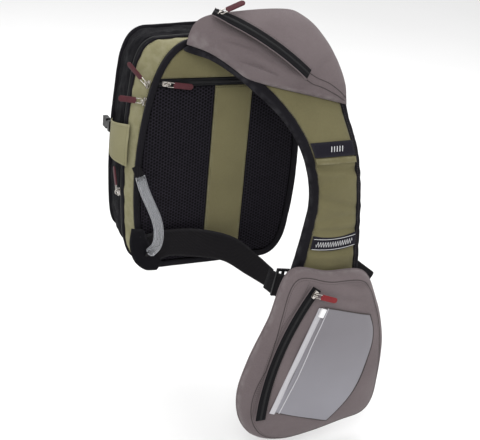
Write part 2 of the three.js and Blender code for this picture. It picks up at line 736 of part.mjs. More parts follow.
function addPull(name, at, pullWay, normal) {
  const n = normal.clone().normalize();
  const hingeAt = at.clone().addScaledVector(n, hinge);
  const p = pullWay.clone().normalize();
  const s = n.clone().cross(p).normalize();
  const up = p.clone().cross(s).normalize();
  const bar = new THREE.CylinderGeometry(0.7, 0.7, 7.4, 8);
  const tabShape = new THREE.Shape();
  const [from, to, half] = [9, 38, 4.4];
  tabShape.moveTo(from, -half);
  tabShape.lineTo(to - half, -half);
  tabShape.absarc(to - half, 0, half, -Math.PI / 2, Math.PI / 2, false);
  tabShape.lineTo(from, half);
  tabShape.closePath();
  const tongue = new THREE.ExtrudeGeometry(tabShape, { depth: 3, bevelEnabled: false, curveSegments: 6 });
  const shape = joined(
    bar,
    box([-0.45, -3.7, -0.6], [10, -2.6, 0.6]),
    box([-0.45, 2.6, -0.6], [10, 3.7, 0.6]),
    tongue.translate(0, 0, -1.5),
  );
  shape.applyMatrix4(new THREE.Matrix4().makeBasis(p, s, up));
  add(name, shape.translate(hingeAt.x, hingeAt.y, hingeAt.z), "pull");
}

function addZipper(prefix, at, track, pullWay, normal) {
  addSlider(`${prefix}_slider`, at, track, pullWay, normal);
  addPull(`${prefix}_pull`, at, pullWay, normal);
}

// A point on a side arc of an outline, left (side -1) or right (side 1), with its tangent and normal.
function sidePlace(shape, side, z, y, out) {
  const angle = Math.asin((z - shape.midHeight) / shape.sideRadius);
  const [c, s] = [Math.cos(angle), Math.sin(angle)];
  const normal = new THREE.Vector3(side * c, 0, s);
  const centreX = shape.middle + side * (shape.halfWide - shape.sideRadius);
  const centre = new THREE.Vector3(centreX, y, shape.midHeight);
  const at = centre.clone().addScaledVector(normal, shape.sideRadius + out);
  return { at, normal, track: new THREE.Vector3(side * -s, 0, c), centre };
}

// The panel's upper left corner is close to an arc through three points of its outline.
function cornerPoint(z) {
  const left = panelPoints.filter((p) => p.x < 0);
  const nearest = left.reduce((a, b) => (Math.abs(b.y - z) < Math.abs(a.y - z) ? b : a));
  return new THREE.Vector3(nearest.x, 0, nearest.y);
}
const cornerArc = circleThrough(...corner.arc.map(cornerPoint));

function cornerPlace(z, y, out) {
  const angle = Math.asin((z - cornerArc.centre.z) / cornerArc.radius);
  const normal = new THREE.Vector3(-Math.cos(angle), 0, Math.sin(angle));
  const at = cornerArc.centre.clone().setY(y).addScaledVector(normal, cornerArc.radius + out);
  return { at, normal, track: new THREE.Vector3(Math.sin(angle), 0, Math.cos(angle)) };
}

function addZippers() {
  const mainY = (rings.main_zip.from + rings.main_zip.to) / 2;
  const upper = cornerPlace(corner.sliderZ, parked.rearY, rings.rear_zip.out);
  addZipper("rear_upper", upper.at, upper.track, new THREE.Vector3(-19, 20, 23), upper.normal);
  const lower = sidePlace(panelShape, -1, parked.rearLowerZ, parked.rearY, rings.rear_zip.out);
  addZipper("rear_lower", lower.at, lower.track, new THREE.Vector3(-21, 24, -3), lower.normal);
  for (const [prefix, side] of [["main_left", -1], ["main_right", 1]]) {
    const place = sidePlace(bodyShape, side, parked.mainZ, mainY, rings.main_zip.out);
    const way = place.track.clone().add(new THREE.Vector3(side * 0.02, 0.3, 0));
    addZipper(prefix, place.at, place.track, way, place.normal);
  }
  const toWearer = new THREE.Vector3(0, -1, 0);
  const across = new THREE.Vector3(1, 0, 0);
  const backZ = (zipLine.low + zipLine.high) / 2;
  const backAt = new THREE.Vector3(parked.backX, -gap - skinThick, backZ);
  addZipper("back_pocket", backAt, across, new THREE.Vector3(1, -0.05, -0.12), toWearer);
  const shoulderAt = onZipArc(parked.shoulderShare, 0, shoulderZip.thick);
  const ahead = onZipArc(parked.shoulderShare + 0.02, 0, shoulderZip.thick);
  const shoulderNormal = shoulderAt.clone().sub(zipArc.centre);
  const shoulderWay = new THREE.Vector3(40, 2, 16);
  addZipper("shoulder_pocket", shoulderAt, ahead.sub(shoulderAt), shoulderWay, shoulderNormal);
  const [x, z] = chestZipAt(chestZip.start - parked.chestTurn);
  const [x2, z2] = chestZipAt(chestZip.start - parked.chestTurn - 1);
  const chestAt = new THREE.Vector3(x, chestZipY - chestZip.thick, z);
  const chestTrack = new THREE.Vector3(x2 - x, 0, z2 - z);
  addZipper("chest_pocket", chestAt, chestTrack, new THREE.Vector3(51, -1, -19), toWearer);
  const frontY = frontPocket.from + frontPocket.depth + frontPocket.zipThick;
  const frontAt = new THREE.Vector3(parked.frontX, frontY, frontPocket.zipZ);
  const away = new THREE.Vector3(0, 1, 0);
  addZipper("front_pocket", frontAt, across, new THREE.Vector3(-0.5, 0.1, -1), away);
}

addBackPanel();
addRings();
addFront();
addTab("left_tab", -1);
addTab("right_tab", 1);
addBuckle("left", -1);
addBuckle("right", 1);
addTube();
addWebbing();
addStrap();
addShoulderPocket();
addChestPocket();
addAdjuster();
addZippers();

export default root;
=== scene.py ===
# One-shoulder fishing sling pack: a zipped back bag, a padded strap with a shoulder pocket,
# cross webbing, and a hanging chest pocket with a clear window.
import json
import math
import bpy
import bmesh
import numpy as np
from mathutils import Matrix, Vector


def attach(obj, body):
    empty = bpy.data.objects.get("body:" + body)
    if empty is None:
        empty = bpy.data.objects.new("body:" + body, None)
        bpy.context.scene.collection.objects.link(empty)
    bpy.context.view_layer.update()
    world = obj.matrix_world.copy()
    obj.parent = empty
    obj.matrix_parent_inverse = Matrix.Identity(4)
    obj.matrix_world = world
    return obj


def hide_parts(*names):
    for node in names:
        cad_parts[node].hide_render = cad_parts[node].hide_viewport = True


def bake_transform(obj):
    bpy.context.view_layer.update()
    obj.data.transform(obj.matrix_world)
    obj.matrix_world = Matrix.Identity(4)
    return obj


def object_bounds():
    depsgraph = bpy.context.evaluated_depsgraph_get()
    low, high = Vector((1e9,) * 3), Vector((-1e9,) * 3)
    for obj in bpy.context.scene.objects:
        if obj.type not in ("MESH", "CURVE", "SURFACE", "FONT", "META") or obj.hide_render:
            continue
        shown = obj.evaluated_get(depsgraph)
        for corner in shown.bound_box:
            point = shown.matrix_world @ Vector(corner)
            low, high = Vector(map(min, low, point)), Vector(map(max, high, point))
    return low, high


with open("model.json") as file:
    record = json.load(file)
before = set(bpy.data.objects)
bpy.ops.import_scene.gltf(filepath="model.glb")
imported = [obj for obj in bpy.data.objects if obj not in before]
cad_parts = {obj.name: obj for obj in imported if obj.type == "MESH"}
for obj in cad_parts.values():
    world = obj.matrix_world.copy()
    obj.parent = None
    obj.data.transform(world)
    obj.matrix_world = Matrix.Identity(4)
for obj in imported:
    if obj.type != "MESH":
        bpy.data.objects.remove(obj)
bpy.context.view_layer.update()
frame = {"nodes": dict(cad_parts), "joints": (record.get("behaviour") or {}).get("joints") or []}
joints = {j["name"]: j for j in frame["joints"]}
print("frame loaded:", len(frame["nodes"]), "nodes")

# the pack is laid out in millimetres with the middle of the bag's base at zero
shoulderRest = np.array([53.0, -30.0, 321.0])
gap = 0.4


def toRow(points):  # bag millimetres to the row frame's metres: (p - shoulderRest) / 1000
    return (np.asarray(points, float) - shoulderRest) / 1000


def unit(v):  # each vector over its own length
    return v / np.maximum(np.linalg.norm(v, axis=-1, keepdims=True), 1e-9)


def smooth(x, low, high):  # 3t^2 - 2t^3 with t = (x - low) / (high - low), held to 0..1
    t = np.clip((x - low) / (high - low), 0, 1)
    return t * t * (3 - 2 * t)


def ripple(x, y, seed, size):  # a sum of six sines in seeded directions, about -1..1, one wave per size
    draw = np.random.default_rng(seed)
    total = 0
    for k in range(6):
        way, phase = draw.uniform(0, math.tau, 2)
        rate = math.tau / size * (0.6 + 0.25 * k)
        total = total + np.sin(rate * (x * math.cos(way) + y * math.sin(way)) + phase) / (1 + 0.5 * k)
    return total / 2.6


# ---- camera and stage
cameraSettings = {"aim": (-0.005, 0.030, -0.262), "away": 1.5, "azimuth": -26, "elevation": 24, "roll": 5.5,
                  "lens": 74.2}


def addCamera(c):  # stands back from the aim along (sin a cos e, -cos a cos e, sin e), rolled about that line
    a, e, r = (math.radians(c[k]) for k in ("azimuth", "elevation", "roll"))
    back = Vector((math.sin(a) * math.cos(e), -math.cos(a) * math.cos(e), math.sin(e)))
    right = Vector((math.cos(a), math.sin(a), 0))
    up = back.cross(right)
    rolledRight = math.cos(r) * right + math.sin(r) * up
    rolledUp = math.cos(r) * up - math.sin(r) * right
    camera = bpy.data.objects.new("camera", bpy.data.cameras.new("camera"))
    camera.data.lens = c["lens"]
    turned = Matrix((rolledRight, rolledUp, back)).transposed().to_4x4()
    camera.matrix_world = Matrix.Translation(Vector(c["aim"]) + c["away"] * back) @ turned
    bpy.context.scene.collection.objects.link(camera)
    bpy.context.scene.camera = camera


addCamera(cameraSettings)

lightSettings = {
    "key": {"at": (-1.1, -1.6, 1.5), "size": 1.2, "power": 20},
    "fill": {"at": (1.7, -1.1, 0.5), "size": 1.8, "power": 5},
    "rim": {"at": (0.5, 1.6, 1.2), "size": 1.4, "power": 10},
    "top": {"at": (0.0, 0.6, 3.2), "size": 3.0, "power": 60},
    "world": 0.8,
}


def addLights(s):  # square area lights turned to the middle of the pack, and a pale even sky
    for name in ("key", "fill", "rim", "top"):
        lamp = bpy.data.objects.new(name, bpy.data.lights.new(name, "AREA"))
        lamp.data.energy = s[name]["power"]
        lamp.data.size = s[name]["size"]
        lamp.location = s[name]["at"]
        lampLine = Vector((0, 0, -0.25)) - Vector(s[name]["at"])  # at the middle of the pack
        lamp.rotation_euler = lampLine.to_track_quat("-Z", "Y").to_euler()
        bpy.context.scene.collection.objects.link(lamp)
    world = bpy.data.worlds.new("studio")
    world.use_nodes = True
    world.node_tree.nodes["Background"].inputs["Color"].default_value = (1, 1, 1, 1)
    world.node_tree.nodes["Background"].inputs["Strength"].default_value = s["world"]
    bpy.context.scene.world = world


addLights(lightSettings)

# ---- materials
# A material's nodes come through this short writer: node(kind, inputs, settings) and maths(operation, a, b).


class Nodes:
    def __init__(self, name):
        self.material = bpy.data.materials.new(name)
        self.material.use_nodes = True
        self.tree = self.material.node_tree
        self.shader = self.tree.nodes["Principled BSDF"]

    def node(self, kind, inputs=(), **settings):
        made = self.tree.nodes.new("ShaderNode" + kind)
        for key, value in settings.items():
            setattr(made, key, value)
        for key, value in dict(inputs).items():
            self.feed(made.inputs[key], value)
        return made

    def feed(self, socket, value):
        if isinstance(value, bpy.types.NodeSocket):
            self.tree.links.new(value, socket)
        else:
            socket.default_value = value

    def maths(self, operation, a, b=0.0):
        return self.node("Math", {0: a, 1: b}, operation=operation).outputs[0]

    def noise(self, scale, detail=3, vector=None):
        inputs = {"Scale": scale, "Detail": detail}
        inputs["Vector"] = vector or self.node("TexCoord").outputs["Object"]
        return self.node("TexNoise", inputs).outputs["Fac"]

    def mix(self, share, a, b):
        made = self.node("Mix", data_type="RGBA")
        self.feed(made.inputs["Factor"], share)
        for socket, value in (("A", a), ("B", b)):
            target = [i for i in made.inputs if i.name == socket and i.type == "RGBA"][0]
            self.feed(target, (*value, 1) if isinstance(value, tuple) else value)
        return [o for o in made.outputs if o.type == "RGBA"][0]

    def bump(self, height, strength, distance, under=None):
        inputs = {"Height": height, "Strength": strength, "Distance": distance}
        if under:
            inputs["Normal"] = under
        return self.node("Bump", inputs).outputs["Normal"]

    def finish(self, color, rough, **sockets):
        self.feed(self.shader.inputs["Base Color"], (*color, 1) if isinstance(color, tuple) else color)
        self.feed(self.shader.inputs["Roughness"], rough)
        for key, value in sockets.items():
            name = {"normal": "Normal", "sheen": "Sheen Weight", "metallic": "Metallic",
                    "coat": "Coat Weight", "ior": "IOR", "alpha": "Alpha",
                    "specular": "Specular IOR Level", "sheenRough": "Sheen Roughness"}[key]
            self.feed(self.shader.inputs[name], value)
        return self.material


# a plain weave: sin(2 pi u / pitch) * sin(2 pi v / pitch) on the cloth's own metres
def wovenParts(n, pitch):
    uv = n.node("SeparateXYZ", {0: n.node("UVMap", uv_map="cloth").outputs[0]})
    rate = math.tau / pitch
    warp = n.maths("SINE", n.maths("MULTIPLY", uv.outputs[0], rate))
    weft = n.maths("SINE", n.maths("MULTIPLY", uv.outputs[1], rate))
    return warp, weft


def clothMaterial(name, look):
    # woven cloth: two shades mixed by broad and fine noise, paler where the edge attribute says it is worn
    n = Nodes(name)
    warp, weft = wovenParts(n, look["pitch"])
    weave = n.maths("MULTIPLY", warp, weft)
    broad = n.noise(14, 4)
    fine = n.noise(420, 2)
    shade = n.maths("ADD", n.maths("MULTIPLY", broad, 0.75), n.maths("MULTIPLY", fine, 0.35))
    share = n.node("MapRange", {"Value": shade, "From Min": 0.35, "From Max": 0.78}).outputs[0]
    color = n.mix(share, look["dark"], look["light"])
    threads = n.node("MapRange", {"Value": weave, "From Min": -1, "From Max": 1, "To Max": look["threads"]})
    color = n.mix(threads.outputs[0], color, look["thread"])
    edge = n.node("Attribute", attribute_name="edge").outputs["Fac"]
    worn = n.maths("MULTIPLY", edge, n.node("MapRange", {"Value": n.noise(90, 4), "From Min": 0.4,
                                                         "From Max": 0.7}).outputs[0])
    color = n.mix(n.maths("MULTIPLY", worn, look["wear"]), color, look["worn"])
    rough = n.node("MapRange", {"Value": fine, "To Min": look["rough"] - 0.08,
                                "To Max": look["rough"] + 0.08}).outputs[0]
    creases = n.bump(n.noise(17, 3), 0.55, 0.006)
    soft = n.bump(n.noise(55, 5), 0.45, 0.0014, creases)
    normal = n.bump(weave, look["bump"], 0.0003, soft)
    return n.finish(color, rough, normal=normal, sheen=look["sheen"], sheenRough=0.45, specular=look["gloss"])


clothLooks = {
    "olive": {"dark": (0.115, 0.102, 0.048), "light": (0.165, 0.148, 0.072), "thread": (0.21, 0.19, 0.105),
              "worn": (0.27, 0.25, 0.16)},
    "oliveSide": {"dark": (0.19, 0.175, 0.09), "light": (0.25, 0.235, 0.13), "thread": (0.31, 0.29, 0.18),
                  "worn": (0.36, 0.34, 0.23)},
    "grey": {"dark": (0.115, 0.090, 0.094), "light": (0.160, 0.130, 0.134), "thread": (0.205, 0.175, 0.178),
             "worn": (0.26, 0.23, 0.23)},
    "black": {"dark": (0.004, 0.004, 0.005), "light": (0.009, 0.0085, 0.0105),
              "thread": (0.016, 0.0155, 0.0185),
              "worn": (0.04, 0.04, 0.043), "sheen": 0.012, "gloss": 0.04},
    "binding": {"dark": (0.006, 0.0055, 0.007), "light": (0.013, 0.012, 0.015),
                "thread": (0.022, 0.021, 0.025),
                "worn": (0.05, 0.049, 0.054), "sheen": 0.015, "gloss": 0.05},
    "seam": {"dark": (0.045, 0.036, 0.036), "light": (0.065, 0.054, 0.053), "thread": (0.085, 0.075, 0.072),
             "worn": (0.12, 0.11, 0.105)},
    "seamOlive": {"dark": (0.08, 0.07, 0.032), "light": (0.11, 0.10, 0.05), "thread": (0.14, 0.13, 0.07),
                  "worn": (0.17, 0.16, 0.10)},
    "pale": {"dark": (0.55, 0.55, 0.56), "light": (0.72, 0.72, 0.73), "thread": (0.8, 0.8, 0.8),
             "worn": (0.85, 0.85, 0.85)},
}
clothCommon = {"pitch": 0.0011, "threads": 0.35, "wear": 0.5, "rough": 0.84, "bump": 0.5, "sheen": 0.08,
               "gloss": 0.2}
cloth = {name: clothMaterial(name + " cloth", {**clothCommon, **look}) for name, look in clothLooks.items()}


def spacerMaterial():
    # black spacer mesh: knit ribs and pores from three crossed cosines 60 degrees apart; the faint purple
    # sheen is painted into the knit colour, and the pores are painted nearly black as painted shade
    n = Nodes("spacer mesh")
    uv = n.node("SeparateXYZ", {0: n.node("UVMap", uv_map="cloth").outputs[0]})
    total = 0.0
    for angle in (0, math.pi / 3, 2 * math.pi / 3):
        across = n.maths("MULTIPLY", uv.outputs[0], math.cos(angle) * math.tau / 0.0042)
        along = n.maths("MULTIPLY", uv.outputs[1], math.sin(angle) * math.tau / 0.0042)
        total = n.maths("ADD", n.maths("COSINE", n.maths("ADD", across, along)), total)
    pores = n.node("MapRange", {"Value": total, "From Min": -1.5, "From Max": 1.6}).outputs[0]
    # painted sheen: the knit goes by noise from the black's own tone to a paler purple-grey
    knit = n.mix(n.noise(260, 2), (0.009, 0.008, 0.011), (0.024, 0.021, 0.029))
    # painted shade: the pore middles, where the back panel's geometry dents in, are painted nearly black
    color = n.mix(pores, knit, (0.0008, 0.0008, 0.001))
    normal = n.bump(n.noise(900, 2), 0.5, 0.0003)
    return n.finish(color, 0.62, normal=normal, sheen=0.0, sheenRough=0.5, specular=0.06)


def ribbedMaterial(name, pitch, dark, light, rough, slant=0.0):
    # narrow woven tape: ribs sin(2 pi (v + slant u) / pitch) across it, a little noise in shade and roughness
    n = Nodes(name)
    uv = n.node("SeparateXYZ", {0: n.node("UVMap", uv_map="cloth").outputs[0]})
    along = n.maths("ADD", uv.outputs[1], n.maths("MULTIPLY", uv.outputs[0], slant))
    ribs = n.maths("SINE", n.maths("MULTIPLY", along, math.tau / pitch))
    picks = n.maths("SINE", n.maths("MULTIPLY", uv.outputs[0], math.tau / 0.0012))
    height = n.maths("ADD", ribs, n.maths("MULTIPLY", picks, 0.4))
    share = n.node("MapRange", {"Value": height, "From Min": -1.2, "From Max": 1.3}).outputs[0]
    color = n.mix(share, dark, light)
    edge = n.node("Attribute", attribute_name="edge").outputs["Fac"]
    color = n.mix(n.maths("MULTIPLY", edge, n.maths("MULTIPLY", n.noise(120, 4), 0.35)), color,
                  (0.06, 0.06, 0.063))
    roughness = n.node("MapRange", {"Value": n.noise(60), "To Min": rough - 0.08,
                                    "To Max": rough + 0.1}).outputs[0]
    return n.finish(color, roughness, normal=n.bump(height, 0.6, 0.0004), sheen=0.01, specular=0.07)


def nickelMaterial():
    # polished nickel: fine brushing in the roughness, darker tarnish patches
    n = Nodes("polished nickel")
    tarnish = n.node("MapRange", {"Value": n.noise(160, 4), "From Min": 0.35, "From Max": 0.7}).outputs[0]
    color = n.mix(tarnish, (0.34, 0.31, 0.28), (0.66, 0.63, 0.59))
    rough = n.node("MapRange", {"Value": n.noise(500, 2), "To Min": 0.13, "To Max": 0.34}).outputs[0]
    return n.finish(color, rough, metallic=1.0, normal=n.bump(n.noise(700, 2), 0.12, 0.0002))


def rubberMaterial(name, dark, light):
    # moulded rubber: fine grain bump, dusty pale bloom from noise
    n = Nodes(name)
    color = n.mix(n.noise(130, 4), dark, light)
    bloom = n.node("MapRange", {"Value": n.noise(40, 5), "From Min": 0.5, "From Max": 0.8,
                                "To Max": 0.2}).outputs[0]
    color = n.mix(bloom, color, tuple(1.3 * c + 0.006 for c in light))
    rough = n.node("MapRange", {"Value": n.noise(300), "To Min": 0.42, "To Max": 0.66}).outputs[0]
    return n.finish(color, rough, normal=n.bump(n.noise(1600, 2), 0.35, 0.0002), specular=0.2)


def plasticMaterial(name, dark, light, rough):
    # moulded plastic: even grain, faint flow marks in the shade
    n = Nodes(name)
    color = n.mix(n.noise(70, 4), dark, light)
    edge = n.node("MapRange", {"Value": n.noise(240, 4), "To Min": rough - 0.07,
                               "To Max": rough + 0.12}).outputs[0]
    return n.finish(color, edge, normal=n.bump(n.noise(1900, 2), 0.2, 0.0002), specular=0.25)


def clearMaterial(name, tint, low, s):
    # clear vinyl: seen through where it faces you, solid and pale at its edges (painted highlights on the
    # tube's rims), and paler towards the bottom where `low` is used (painted light)
    n = Nodes(name)
    height = n.node("SeparateXYZ", {0: n.node("TexCoord").outputs["Object"]}).outputs[2]
    # painted light: the colour goes from `low` at the bottom to `tint` higher up, so the lower part is
    # painted paler
    fade = n.node("MapRange", {"Value": height, "From Min": -0.50, "From Max": -0.38}).outputs[0]
    haze = n.node("MapRange", {"Value": n.noise(14, 2), "From Min": 0.3, "From Max": 0.75,
                               "To Max": 0.4}).outputs[0]
    color = n.mix(haze, n.mix(fade, low, tint), tuple(1.15 * c for c in tint))
    edge = n.node("LayerWeight", {"Blend": 0.4}).outputs["Facing"]
    solid = n.node("MapRange", {"Value": edge, "From Min": s["from"], "From Max": s["to"],
                                "To Min": s["face"]}).outputs[0]
    gloss = n.node("MapRange", {"Value": n.noise(18, 2), "To Min": s["rough"] * 0.8,
                                "To Max": s["rough"] * 1.2}).outputs[0]
    normal = n.bump(n.noise(9, 2), s["wrinkle"], 0.004)
    return n.finish(color, gloss, normal=normal, alpha=solid, ior=1.45, coat=s["coat"], specular=0.5)


clearLooks = {
    # painted highlight: the tube is pale and opaque where it turns away, so its rims show painted bright
    # reflections
    "tube": {"face": 0.08, "from": 0.50, "to": 0.66, "rough": 0.05, "wrinkle": 0.0, "coat": 0.6},
    "window": {"face": 0.95, "from": 0.0, "to": 1.0, "rough": 0.34, "wrinkle": 0.35, "coat": 0.1},
    "rail": {"face": 0.9, "from": 0.0, "to": 1.0, "rough": 0.12, "wrinkle": 0.0, "coat": 0.6},
}
spacer = spacerMaterial()
tape = ribbedMaterial("zip tape", 0.0009, (0.004, 0.004, 0.005), (0.012, 0.0115, 0.013), 0.74)
coil = plasticMaterial("zip coil", (0.004, 0.004, 0.0045), (0.009, 0.009, 0.010), 0.6)
webbing = ribbedMaterial("webbing", 0.0026, (0.005, 0.0045, 0.0055), (0.014, 0.013, 0.0145), 0.7, 0.5)
nickel = nickelMaterial()
pullRubber = rubberMaterial("burgundy rubber", (0.048, 0.011, 0.015), (0.085, 0.020, 0.026))
pullBright = rubberMaterial("red rubber", (0.14, 0.010, 0.013), (0.23, 0.020, 0.023))
blackPlastic = plasticMaterial("black plastic", (0.006, 0.006, 0.007), (0.014, 0.014, 0.015), 0.42)
whitePlastic = plasticMaterial("white plastic", (0.78, 0.78, 0.79), (0.9, 0.9, 0.9), 0.3)
foam = rubberMaterial("closed-cell foam", (0.06, 0.06, 0.06), (0.1, 0.1, 0.1))
# painted highlight: the near-white tint is what the tube's opaque rims show
clearTube = clearMaterial("clear tube", (0.80, 0.82, 0.86), (0.80, 0.82, 0.86), clearLooks["tube"])
# painted light: the second, paler colour is the one painted towards the window's bottom
clearWindow = clearMaterial("window vinyl", (0.175, 0.165, 0.182), (0.255, 0.250, 0.280),
                            clearLooks["window"])
clearRail = clearMaterial("clear rail", (0.50, 0.49, 0.52), (0.56, 0.55, 0.58), clearLooks["rail"])
print("materials made")


# ---- meshes
def putMesh(name, points, quads, material, body, slot, uv=None, edge=None, tris=None, scale=True):
    # points in bag millimetres and faces as index arrays into one object, turned to face outwards by its
    # volume
    p = toRow(points) if scale else np.asarray(points, float)
    faces = np.asarray(quads, int).reshape(-1, 4)
    a, b, c, d = (p[faces[:, k]] for k in range(4))
    volume = (a * np.cross(b, c)).sum() + (a * np.cross(c, d)).sum()
    extra = np.zeros((0, 3), int) if tris is None else np.asarray(tris, int).reshape(-1, 3)
    if len(extra):
        e, f, g = (p[extra[:, k]] for k in range(3))
        volume += (e * np.cross(f, g)).sum()
    if volume < 0:
        faces, extra = faces[:, ::-1], extra[:, ::-1]
    mesh = bpy.data.meshes.new(name)
    mesh.from_pydata(p.tolist(), [], faces.tolist() + extra.tolist())
    mesh.polygons.foreach_set("use_smooth", np.ones(len(mesh.polygons), bool))
    corners = np.zeros(len(mesh.loops), np.int32)
    mesh.loops.foreach_get("vertex_index", corners)
    flat = np.zeros((len(p), 2)) if uv is None else np.asarray(uv, float).reshape(-1, 2)
    mesh.uv_layers.new(name="cloth").data.foreach_set("uv", flat[corners].astype(np.float32).ravel())
    worn = np.zeros(len(p)) if edge is None else np.asarray(edge, float).ravel()
    mesh.attributes.new("edge", "FLOAT", "POINT").data.foreach_set("value", worn.astype(np.float32))
    mesh.materials.append(material)
    made = bpy.data.objects.new(name, mesh)
    bpy.context.scene.collection.objects.link(made)
    if body:
        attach(made, body)
    return made


def gridFaces(rows, cols, wrapRows=False, wrapCols=False):  # quads between neighbours of a rows x cols grid
    i = np.arange(rows if wrapRows else rows - 1)[:, None]
    j = np.arange(cols if wrapCols else cols - 1)[None, :]
    i2, j2 = (i + 1) % rows, (j + 1) % cols
    return np.stack([i * cols + j, i * cols + j2, i2 * cols + j2, i2 * cols + j], -1).reshape(-1, 4)


def spaced(n, dense=0.85):  # 0..1 in n steps, closer together at both ends: t - dense sin(2 pi t) / 2 pi
    t = np.linspace(0, 1, n + 1)
    return t - dense * np.sin(math.tau * t) / math.tau


def rounded(t, power):  # (1 - |2t - 1|^power)^(1/2): 1 inside, falling to 0 at both ends
    return np.sqrt(np.clip(1 - np.abs(2 * t - 1) ** power, 0, 1))


def cushion(name, lower, upper, material, body, slot, steps=(40, 20), power=(20, 12), seat=0.5, wear=True):
    # a closed pad between two surfaces of (u, v): their distance times rounded(u) times rounded(v), so that
    # both meet on one rim, which lies at the share seat of the way up
    u, v = np.meshgrid(spaced(steps[0]), spaced(steps[1]), indexing="ij")
    low, high = lower(u, v), upper(u, v)
    middle = low + seat * (high - low)
    full = (rounded(u, power[0]) * rounded(v, power[1]))[..., None]
    top, bottom = middle + (high - middle) * full, middle + (low - middle) * full
    rows, cols = u.shape
    index = np.arange(rows * cols).reshape(rows, cols)
    under = np.full((rows, cols), -1)
    under[1:-1, 1:-1] = rows * cols + np.arange((rows - 2) * (cols - 2)).reshape(rows - 2, cols - 2)
    under = np.where(under < 0, index, under)
    quads = gridFaces(rows, cols)
    flipped = under.ravel()[quads][:, ::-1]
    points = np.concatenate([top.reshape(-1, 3), bottom[1:-1, 1:-1].reshape(-1, 3)])
    long = np.linalg.norm(np.diff(middle[:, cols // 2], axis=0), axis=1).sum() / 1000
    wide = np.linalg.norm(np.diff(middle[rows // 2], axis=0), axis=1).sum() / 1000
    uv = np.stack([u * long, v * wide], -1)
    rim = 1 - smooth(np.minimum(np.minimum(u, 1 - u) * long, np.minimum(v, 1 - v) * wide), 0.0, 0.005)
    uv = np.concatenate([uv.reshape(-1, 2), uv[1:-1, 1:-1].reshape(-1, 2)])
    edge = np.concatenate([rim.ravel(), rim[1:-1, 1:-1].ravel()]) * (1 if wear else 0)
    return putMesh(name, points, np.concatenate([quads, flipped]), material, body, slot, uv, edge)


def lengths(path):  # running length along a line of points
    return np.concatenate([[0], np.cumsum(np.linalg.norm(np.diff(path, axis=0), axis=1))])


def evenly(path, count, *others):  # the line, and what goes with it, at equal steps of its own length
    run = lengths(path)
    at = np.linspace(0, run[-1], count)
    return [np.stack([np.interp(at, run, line[:, k]) for k in range(line.shape[1])], 1)
            for line in (path, *others)]


def sweep(name, path, normal, section, material, body, slot, closed=False, ends=True):
    # a section of (beside, above) points carried along a path; beside is tangent x normal; ends close on a
    # cap
    tangent = unit(np.roll(path, -1, 0) - np.roll(path, 1, 0)) if closed else unit(np.gradient(path, axis=0))
    side = unit(np.cross(tangent, normal))
    above = unit(np.cross(side, tangent))
    shape = section if section.ndim == 3 else np.broadcast_to(section, (len(path), *section.shape))
    points = path[:, None] + shape[..., :1] * side[:, None] + shape[..., 1:] * above[:, None]
    rows, cols = points.shape[:2]
    quads = gridFaces(rows, cols, closed, True)
    run = lengths(path)
    around = lengths(np.vstack([shape[0], shape[0][:1]]))[:-1]
    uv = np.stack(np.meshgrid(run, around, indexing="ij"), -1).reshape(-1, 2) / 1000
    allPoints, tris = points.reshape(-1, 3), None
    if not closed and ends:
        allPoints = np.concatenate([allPoints, points[0].mean(0)[None], points[-1].mean(0)[None]])
        uv = np.concatenate([uv, np.zeros((2, 2))])
        j = np.arange(cols)
        k = (j + 1) % cols
        first, last = rows * cols, rows * cols + 1
        start = np.stack([np.full(cols, first), k, j], -1)
        end = np.stack([np.full(cols, last), (rows - 1) * cols + j, (rows - 1) * cols + k], -1)
        tris = np.concatenate([start, end])
    return putMesh(name, allPoints, quads, material, body, slot, uv, None, tris)


def ring(n, across, tall=None):  # an ellipse section of n points
    a = np.arange(n) * math.tau / n
    return np.stack([across * np.cos(a), (tall or across) * np.sin(a)], -1)


def seamCord(name, path, normal, material, body, slot, thick=0.7, lift=0.0, closed=False):
    # a thin round cord laid along a path, lifted along its normal
    return sweep(name, path + lift * unit(normal), normal, ring(6, thick), material, body, slot, closed)


stitchSettings = {"pitch": 3.4, "long": 2.3, "thick": 0.32, "sink": 0.1}


def stitches(name, path, normal, material, body, slot, s=stitchSettings):
    # lozenges of eight faces a side at even steps along a path, copied as one array
    count = max(2, int(lengths(path)[-1] / s["pitch"]))
    at, out = evenly(path, count, np.broadcast_to(normal, path.shape))
    out = unit(out)
    along = unit(np.gradient(at, axis=0))
    side = unit(np.cross(along, out))
    x = np.array([-0.5, -0.3, 0, 0.3, 0.5]) * s["long"]
    girth = np.array([0.15, 0.85, 1, 0.85, 0.15]) * s["thick"]
    a = np.arange(4) * math.tau / 4 + math.pi / 4
    cross = np.stack([np.cos(a), np.sin(a)], -1)
    local = x[:, None, None] * along[:, None, None] + girth[:, None, None] * (
        cross[:, :1] * side[:, None, None] + cross[:, 1:] * out[:, None, None])
    points = (at - s["sink"] * out)[:, None, None] + local
    cell = gridFaces(5, 4, False, True)
    caps = np.array([[3, 2, 1, 0], [16, 17, 18, 19]])
    quads = (np.concatenate([cell, caps])[None] + 20 * np.arange(count)[:, None, None]).reshape(-1, 4)
    return putMesh(name, points.reshape(-1, 3), quads, material, body, slot)


